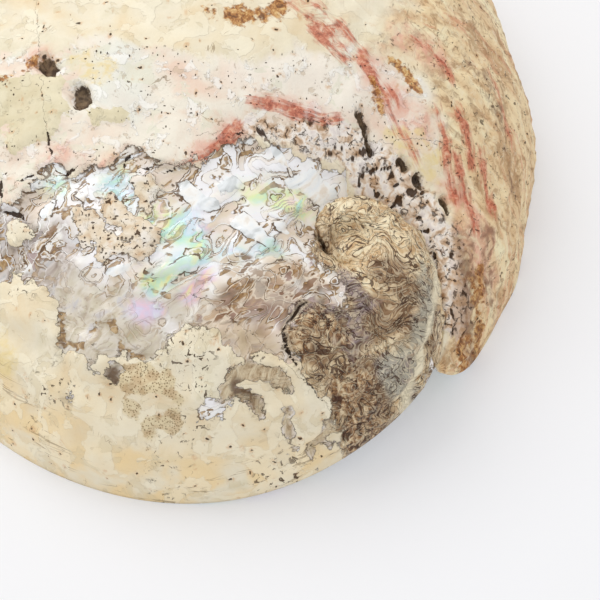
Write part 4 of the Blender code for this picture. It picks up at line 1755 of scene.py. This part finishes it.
def flake_finish(tree, where, grain, flowing):
    """Colour, roughness and height of the spire's flaky brown layers."""
    soft = clouds(tree, where, 2.6, 4.0, 1.0, 0.55)
    swirl = times(tree, clouds(tree, flowing, 3.0, 2.0, 0.4), 9.0)
    thin = use_group(tree, worn_layers, layer=swirl, line=0.13, lip=0.5)
    layer = times_plus(tree, soft, 1.2, field(tree, "layer"))
    thick = use_group(tree, worn_layers, layer=layer, line=0.10, lip=0.35)
    umber_share = field(tree, "umber")
    tone = times_plus(tree, thin["Level"], 0.24, times(tree, soft, 0.86))
    dark = between(tree, field(tree, "brown"), -0.8, 0.8)
    flake = flake_tones(tree, where, grain, tone, umber_share, dark)
    strip = times(tree, field(tree, "edge_strip"), between(tree, soft, 0.36, 0.52, 0.35, 0.85))
    flake = blend(tree, strip, flake, paint(184, 180, 164))

    # A light lip along each flake's step, weaker in the umber patches: a painted highlight
    light = larger(tree, times(tree, thin["Lip"], 0.5), times(tree, thick["Lip"], 0.45))
    light = times(tree, light, times_plus(tree, umber_share, -0.35, 1.0))
    flake = blend(tree, light, flake, paint(248, 234, 202))
    # Dark brown lines at the flakes' steps and cracks: partly the flakes' own brown edges, partly painted
    # shadow
    gate = between(tree, clouds(tree, where, 3.6, 2.0), 0.42, 0.56, 0.15, 1.0)
    line = larger(tree, times(tree, thin["Line"], gate), times(tree, thick["Line"], 0.5))
    long = use_group(tree, hairlines, where=flowing, size=3.4, width=0.034, share=0.54)["Line"]
    line = larger(tree, line, long)
    colour = blend(tree, times(tree, line, 0.84), flake, paint(72, 38, 18))
    height = times_plus(tree, line, -0.30, times(tree, tone, 0.7))
    return colour, between(tree, dark, 0.0, 1.0, 0.5, 0.3), height


flake, flake_rough, flake_height = flake_finish(outside, where, grain, flowing)
report("the spire's flakes")

# %% [markdown]
# ### The crust
#
# The crust was laid down in skins, then eaten by clams, worms and sponges, and it faded in the sun. So it
# isn't one plaster colour. A cream skin lies over pinkish chalk, the right flank is tan with streaks that run
# with the growth, and where borers lived, the crust is riddled with holes. Each of these is mixed from noise
# of its own size. The fields say where each belongs, and frayed edges keep the patches from looking cut out.

# %% The cream crust


def cream_finish(tree, where):
    """Smooth cream crust, in thin overlapping skins, warmer near the rim."""
    colour = ramp(tree, clouds(tree, where, 9.0, 4.0, 0.4), [
        (0.32, 236, 216, 180),
        (0.45, 240, 226, 196),
        (0.58, 242, 232, 208),
        (0.70, 230, 220, 192),
    ])
    warm = times(tree, field(tree, "rim"), between(tree, clouds(tree, where, 8.0, 4.0), 0.36, 0.56, 0.0, 0.8))
    colour = blend(tree, warm, colour, paint(246, 218, 166))
    skin = between(tree, clouds(tree, where, 6.0, 4.0, 0.5, 0.5), 0.525, 0.54, 0.0, 0.45)
    colour = blend(tree, skin, colour, paint(252, 244, 220))
    worn = between(tree, clouds(tree, where, 4.6, 5.0, 0.5, 0.55), 0.59, 0.62, 0.0, 0.4)
    colour = blend(tree, worn, colour, paint(222, 206, 170))
    height = times_plus(tree, skin, 0.15, times(tree, worn, -0.15))
    far = field(tree, "far")
    growth = clouds(tree, growth_places(tree, 42.0, 3.4), 1.0, 5.0, 0.3, 0.62)
    patchy = between(tree, clouds(tree, where, 4.0, 5.0, 0.6, 0.66), 0.40, 0.62, 0.25, 1.0)
    patchy = times(tree, patchy, far)
    red_skin = times(tree, between(tree, growth, 0.50, 0.66, 0.0, 0.8), patchy)
    colour = blend(tree, red_skin, colour, paint(208, 140, 110))
    tan_skin = times(tree, between(tree, growth, 0.34, 0.50, 0.6, 0.0), patchy)
    colour = blend(tree, tan_skin, colour, paint(188, 150, 108))
    with_growth = growth_places(tree, 40.0, 3.0)
    lines = use_group(tree, hairlines, where=with_growth, size=1.0, width=0.010, share=0.45)["Line"]
    lines = times(tree, lines, far)
    colour = blend(tree, times(tree, lines, 0.4), colour, paint(150, 110, 76))
    return colour, times_plus(tree, lines, -0.25, height)


cream, cream_height = cream_finish(outside, where)
report("the cream crust")

# %% The chalk under it


def chalk_finish(tree, where):
    """Chalky middle layer: pink, white and pale patches with crisp edges."""
    colour = ramp(tree, clouds(tree, where, 7.0, 4.0, 0.6), [
        (0.32, 240, 214, 194),
        (0.45, 242, 226, 208),
        (0.58, 244, 236, 220),
    ])
    colour = blend(tree, times(tree, field(tree, "pale"), 0.7), colour, paint(234, 236, 226))
    colour = blend(tree, times(tree, field(tree, "bright"), 0.65), colour, paint(255, 247, 234))
    green = between(tree, clouds(tree, where, 8.5, 5.0, 0.6, 0.6), 0.56, 0.58, 0.0, 0.55)
    colour = blend(tree, green, colour, paint(230, 228, 206))
    white = between(tree, clouds(tree, where, 3.6, 5.0, 0.6, 0.6), 0.56, 0.61, 0.0, 0.6)
    colour = blend(tree, white, colour, paint(253, 251, 246))
    grime = between(tree, clouds(tree, where, 2.3, 5.0, 0.4, 0.66), 0.60, 0.66, 0.0, 0.5)
    colour = blend(tree, grime, colour, paint(206, 184, 156))
    return colour, times_plus(tree, white, 0.14, times(tree, grime, -0.15))


chalky, chalky_height = chalk_finish(outside, where)
chalk = field(outside, "chalk")
crust = blend(outside, chalk, cream, chalky)
crust_height = choose(outside, chalk, cream_height, chalky_height)
report("the chalk")

# %% The tan flank with its streaks


def flank_finish(tree, where):
    """The right flank: tan, with broad streaks along the growth and rough brown and pale blotches."""
    base = clouds(tree, growth_places(tree, 4.5, 9.0), 1.0, 4.0, 0.8)
    colour = ramp(tree, base, [
        (0.34, 208, 172, 130),
        (0.44, 234, 204, 160),
        (0.56, 246, 224, 182),
        (0.68, 250, 238, 200),
    ])
    streaks = clouds(tree, growth_places(tree, 3.2, 9.0), 1.0, 5.0, 1.0, 0.6)
    salmon = between(tree, streaks, 0.54, 0.66, 0.0, 0.6)
    colour = blend(tree, salmon, colour, paint(214, 146, 112))
    brown = between(tree, clouds(tree, where, 5.0, 5.0, 0.8, 0.62), 0.52, 0.64, 0.0, 0.6)
    colour = blend(tree, brown, colour, paint(166, 126, 86))
    blotch = clouds(tree, where, 1.9, 5.0, 0.6, 0.66)
    colour = blend(tree, between(tree, blotch, 0.36, 0.46, 0.5, 0.0), colour, paint(248, 234, 202))
    return blend(tree, between(tree, blotch, 0.54, 0.64, 0.0, 0.55), colour, paint(156, 116, 80))


flank = flank_finish(outside, where)
report("the flank")

# %% Flat skin, tan flank, islands and porous patches


def patched(tree, where, fray, porous, flank, colour):
    """The crust's colour with the patches that are of another kind of crust."""
    flat_colour = ramp(tree, clouds(tree, where, 5.0, 4.0, 0.4), [
        (0.4, 220, 208, 172),
        (0.6, 232, 222, 190),
    ])
    colour = blend(tree, stain(tree, fray, "flat", 2.2, -0.12, 0.12, 0.9), colour, flat_colour)
    tan = field(tree, "tan")
    colour = blend(tree, tan, colour, flank)
    beige = ramp(tree, clouds(tree, where, 3.0, 4.0, 0.6), [
        (0.36, 214, 184, 148),
        (0.46, 232, 214, 186),
        (0.54, 240, 226, 204),
        (0.64, 246, 238, 226),
    ])
    colour = blend(tree, times(tree, field(tree, "island"), 0.85), colour, beige)
    grainy = ramp(tree, clouds(tree, where, 1.8, 4.0, 0.5), [
        (0.34, 184, 150, 118),
        (0.44, 230, 206, 182),
        (0.54, 252, 244, 234),
        (0.66, 236, 226, 220),
    ])
    grainy = blend(tree, times(tree, tan, 0.7), grainy, paint(198, 162, 128))
    return blend(tree, porous, colour, grainy)


crust_fray = minus(outside, clouds(outside, where, 1.4, 5.0, 0.3, 0.6), 0.5)
porous = stain(outside, crust_fray, "porous", 4.0, -0.8, 0.8)
crust = patched(outside, where, crust_fray, porous, flank, crust)
report("the patches")

# %% The stains on the crust


def stained(tree, where, fray, colour):
    """The crust's colour with its coloured streaks and patches over it."""
    broken = between(tree, clouds(tree, where, 2.6, 5.0, 0.6, 0.6), 0.40, 0.62)
    pink = times(tree, field(tree, "pink"), times_plus(tree, broken, 0.5, 0.25))
    colour = blend(tree, pink, colour, paint(232, 172, 150))
    yellow = stain(tree, fray, "yellow", 4.0, -0.8, 0.8)
    yellow = times(tree, yellow, times_plus(tree, broken, 0.6, 0.25))
    colour = blend(tree, yellow, colour, paint(238, 216, 158))
    across = over(tree, field(tree, "red_side"), 0.55)
    along = over(tree, field(tree, "red_along"), 4.2)
    streak_places = put(tree, "ShaderNodeCombineXYZ", {"X": across, "Y": along}).outputs[0]
    streak = clouds(tree, streak_places, 1.0, 4.0, 0.4, 0.6)
    near = times_plus(tree, minus(tree, streak, 0.5), 3.6, field(tree, "red"))
    red_colour = ramp(tree, clouds(tree, where, 1.2, 5.0, 0.4, 0.7), [
        (0.34, 136, 62, 42),
        (0.46, 192, 98, 72),
        (0.56, 218, 134, 106),
        (0.66, 236, 186, 156),
    ])
    colour = blend(tree, between(tree, near, -0.7, 0.7, 0.0, 0.88), colour, red_colour)
    ochre_colour = ramp(tree, clouds(tree, where, 1.1, 5.0, 0.5, 0.65), [
        (0.38, 112, 62, 22),
        (0.50, 182, 118, 54),
        (0.62, 230, 190, 128),
    ])
    colour = blend(tree, stain(tree, fray, "ochre", 5.0, -0.4, 0.6, 0.92), colour, ochre_colour)
    dark = stain(tree, fray, "dark", 5.0, -0.6, 1.0, 0.9)
    dark = times(tree, dark, times_plus(tree, broken, 0.7, 0.2))
    return blend(tree, dark, colour, paint(140, 106, 82))


crust = stained(outside, where, crust_fray, crust)
report("the stains")

# %% Hairline cracks


def cracked(tree, where, colour):
    """The crust's colour with fine cracks all over it, and with others that follow the rim."""
    hair = use_group(tree, hairlines, where=where, size=5.0, width=0.016, share=0.36)["Line"]
    rim_places = put(tree, "ShaderNodeCombineXYZ", {
        "X": over(tree, field(tree, "from_edge"), 1.6),
        "Y": over(tree, field(tree, "along"), 11.0),
    }).outputs[0]
    skins = use_group(tree, hairlines, where=rim_places, size=1.0, width=0.05, share=0.42)["Line"]
    hair = larger(tree, hair, times(tree, skins, field(tree, "rim")))
    return blend(tree, times(tree, hair, 0.55), colour, paint(138, 110, 74))


crust = cracked(outside, where, crust)
report("the hairline cracks")

# %% What borers left


def bored(tree, where, porous, chalk, colour):
    """The crust's colour with the pits in it, and where the pits are."""
    island = field(tree, "island")
    ragged = clouds(tree, where, 1.3, 4.0, 0.8, 0.62)
    width = times_plus(tree, island, 0.09, 0.17)
    rice = use_group(tree, bore_pits, where=where, spacing=1.35, width=width, share=0.40)["Pit"]
    clump = between(tree, clouds(tree, where, 6.0, 3.0), 0.44, 0.56)
    clump = larger(tree, clump, times(tree, island, 0.9))
    rice = times(tree, rice, times(tree, clump, chalk))
    stray = use_group(tree, bore_pits, where=where, spacing=4.2, width=0.085, share=0.5)
    halo = times(tree, stray["Ring"], between(tree, ragged, 0.40, 0.60, 0.0, 0.6))
    colour = blend(tree, halo, colour, paint(214, 166, 116))
    speckled = larger(tree, field(tree, "specks"), island)
    speck = times(tree, between(tree, ragged, 0.615, 0.635), speckled)
    holes = times(tree, between(tree, ragged, 0.57, 0.64, 0.0, 0.85), porous)
    flank_holes = times(tree, between(tree, ragged, 0.635, 0.67, 0.0, 0.8), field(tree, "tan"))
    worm = between(tree, field(tree, "pit"), 0.35, 0.7)
    pits = larger(tree, larger(tree, rice, stray["Pit"]), larger(tree, holes, flank_holes))
    pits = larger(tree, pits, larger(tree, worm, speck))
    # The pits, and the specks among them, are painted dark brown: painted shade inside the pits
    return blend(tree, times(tree, pits, 0.92), colour, paint(78, 54, 36)), pits


crust, pits = bored(outside, where, porous, chalk, crust)
crumbs = clouds(outside, where, 0.8, 3.0)
dents = times_plus(outside, pits, -0.4, times(outside, crumbs, 0.10))
crust_height = plus(outside, crust_height, dents)
report("the pits")

# %% Tan skin with small brown dots


def dotted(tree, where, fray, colour):
    cells = {"Vector": where, "Scale": 2.3, "Randomness": 0.8}
    from_dot = put(tree, "ShaderNodeTexVoronoi", cells).outputs["Distance"]
    share = stain(tree, fray, "dots", 1.6, -0.2, 0.2)
    skin = ramp(tree, clouds(tree, where, 2.4, 3.0), [
        (0.42, 196, 166, 122),
        (0.56, 226, 208, 168),
    ])
    colour = blend(tree, times(tree, share, 0.75), colour, skin)
    dots = times(tree, between(tree, from_dot, 0.26, 0.40, 1.0, 0.0), share)
    return blend(tree, times(tree, dots, 0.75), colour, paint(128, 98, 60))


crust = dotted(outside, where, crust_fray, crust)
report("the dots")

# %% [markdown]
# ### One finish from all the layers
#
# The crust, the pearl and the flakes meet on one surface, so one finish mixes them. The bare field, frayed
# by noise, cuts the crust off with a crisp edge and a painted shadow under it. Cracks and hollows come last,
# over everything, painted dark as painted shade. A bump only follows what is finer than the mesh; the real
# relief is in the mesh itself.

# %% Where the crust ends
fray = minus(outside, clouds(outside, where, 1.9, 5.0, 0.3, 0.58), 0.5)
frayed = times_plus(outside, fray, 3.6, field(outside, "bare"))
bare = between(outside, frayed, -0.10, 0.10)
covered = minus(outside, 1.0, bare)
on_spire = stain(outside, fray, "spire", 4.0, -0.25, 0.25)
report("the crust's edge")

# %% Painted shadow where the bare layers go in under the crust


def with_undercut_shadow(tree, where, frayed, under):
    # A dark brown band just inside the crust's edge, wider along the front ledge: painted shadow under the
    # raised crust
    chance = between(tree, clouds(tree, where, 3.0, 2.0), 0.42, 0.55)
    ledge = times(tree, field(tree, "ledge"), chance)
    reach = times_plus(tree, ledge, 0.7, 0.35)
    undercut_shadow = between(tree, over(tree, frayed, reach), 0.2, 1.0, 1.0, 0.0)
    undercut_shadow = times(tree, undercut_shadow, times_plus(tree, chance, 0.55, times(tree, ledge, 0.3)))
    return blend(tree, undercut_shadow, under, paint(112, 84, 52))


under = with_undercut_shadow(outside, where, frayed, blend(outside, on_spire, pearl, flake))
colour = blend(outside, bare, crust, under)
colour = blend(outside, field(outside, "edge_line"), colour, paint(244, 232, 202))
report("the undercut shadow")

# %% Hollows, slits and cracks, painted dark as painted shade


def sunken(tree, where, fray, colour):
    """The colour with hollows and gaps painted dark as painted shade, and where these are."""
    hollow = stain(tree, fray, "hollow", 2.2, -0.12, 0.12)
    deep_shade = stain(tree, fray, "slit", 0.5, -0.05, 0.08)
    deep_shade = larger(tree, deep_shade, stain(tree, fray, "crevice", 1.2, -0.15, 0.15, 0.85))
    side = calc(tree, "ABSOLUTE", times_plus(tree, fray, 3.0, field(tree, "crack_side")))
    ratio = over(tree, side, larger(tree, field(tree, "crack"), 0.02))
    gap = larger(tree, between(tree, ratio, 0.6, 1.1, 1.0, 0.0), deep_shade)
    # The hollows' floors are painted dark brown: painted shade in the bored hollows
    hollow_shade_colour = ramp(tree, clouds(tree, where, 1.5, 4.0), [
        (0.40, 58, 38, 22),
        (0.60, 134, 112, 86),
    ])
    colour = blend(tree, times(tree, hollow, 0.93), colour, hollow_shade_colour)
    # A thin pale band along the slit's edges: a painted glint
    slit_glint = stain(tree, fray, "slit", 0.5, -0.42, -0.30, 0.35)
    colour = blend(tree, slit_glint, colour, paint(236, 216, 188))
    # The slit, the crevice and the cracks are painted almost black: painted shade in the gaps
    return blend(tree, times(tree, gap, 0.94), colour, paint(52, 30, 15)), hollow, gap


colour, hollow, gap = sunken(outside, where, fray, colour)
cavity = larger(outside, hollow, gap)
outside.links.new(colour, outside_surface.inputs["Base Color"])
report("the hollows")

# %% Gloss and fine relief
COAT = 0.55  # on the pearl
SPIRE_COAT = 0.17
COAT_ROUGHNESS = 0.10
CRUST_DULLNESS = 0.65
CRUST_STEP = 0.35  # heights in mm
GAP_HEIGHT = -0.6


def gloss(tree, surface):
    """Pearl and flakes shine, the crust is dull, and holes don't shine at all."""
    rough = choose(tree, covered, choose(tree, on_spire, pearl_rough, flake_rough), CRUST_DULLNESS)
    tree.links.new(larger(tree, rough, larger(tree, cavity, pits)), surface.inputs["Roughness"])
    coat = times_plus(tree, on_spire, SPIRE_COAT - COAT, COAT)
    coat = times(tree, times(tree, bare, minus(tree, 1.0, cavity)), coat)
    tree.links.new(coat, surface.inputs["Coat Weight"])
    surface.inputs["Coat Roughness"].default_value = COAT_ROUGHNESS
    surface.inputs["Specular IOR Level"].default_value = DULL_SHEEN


def fine_bump(tree, surface):
    """The heights of all the layers, as a bump."""
    height = choose(tree, on_spire, pearl_height, flake_height)
    height = choose(tree, covered, height, crust_height)
    height = times_plus(tree, covered, CRUST_STEP, height)
    height = times_plus(tree, gap, GAP_HEIGHT, height)
    bump = put(tree, "ShaderNodeBump", {"Strength": 1.0, "Distance": MM, "Height": height})
    tree.links.new(bump.outputs["Normal"], surface.inputs["Normal"])


gloss(outside, outside_surface)
fine_bump(outside, outside_surface)
report("the end")

# %% [markdown]
# ## The lining
#
# The bowl is lined with unbroken mother of pearl. It shows when the shell is turned over, so it is finished
# too: a silvery base with rainbow swirls that are larger than those outside.

# %% Make the lining
LINING_COAT = 0.5
LINING_RELIEF = 0.35 * MM


def make_lining():
    material, tree, surface = new_material("pearl_lining")
    where = places(tree)
    tint = use_group(tree, pearl_tint, where=where, swirl_size=30.0, hue=0.45, spread=0.7)["Colour"]
    silver = ramp(tree, clouds(tree, where, 26.0, 3.0, 0.8), [
        (0.35, 206, 208, 206),
        (0.5, 232, 230, 224),
        (0.65, 222, 216, 220),
    ])
    tree.links.new(blend(tree, 0.5, silver, tint), surface.inputs["Base Color"])
    rough = between(tree, clouds(tree, where, 9.0, 3.0), 0.3, 0.7, 0.16, 0.3)
    tree.links.new(rough, surface.inputs["Roughness"])
    height = clouds(tree, where, 7.0, 2.0, 0.4)
    bump = put(tree, "ShaderNodeBump", {"Strength": 1.0, "Distance": LINING_RELIEF, "Height": height})
    tree.links.new(bump.outputs["Normal"], surface.inputs["Normal"])
    surface.inputs["Coat Weight"].default_value = LINING_COAT
    surface.inputs["Coat Roughness"].default_value = COAT_ROUGHNESS
    return material


lining_finish = make_lining()
for finish in (outside_finish, lining_finish):
    shell.data.materials.append(finish)
print("finishes on the shell:", [m.name for m in shell.data.materials])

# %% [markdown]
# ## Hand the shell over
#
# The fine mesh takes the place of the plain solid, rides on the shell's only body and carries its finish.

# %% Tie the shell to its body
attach(shell, "root")
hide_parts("shell")
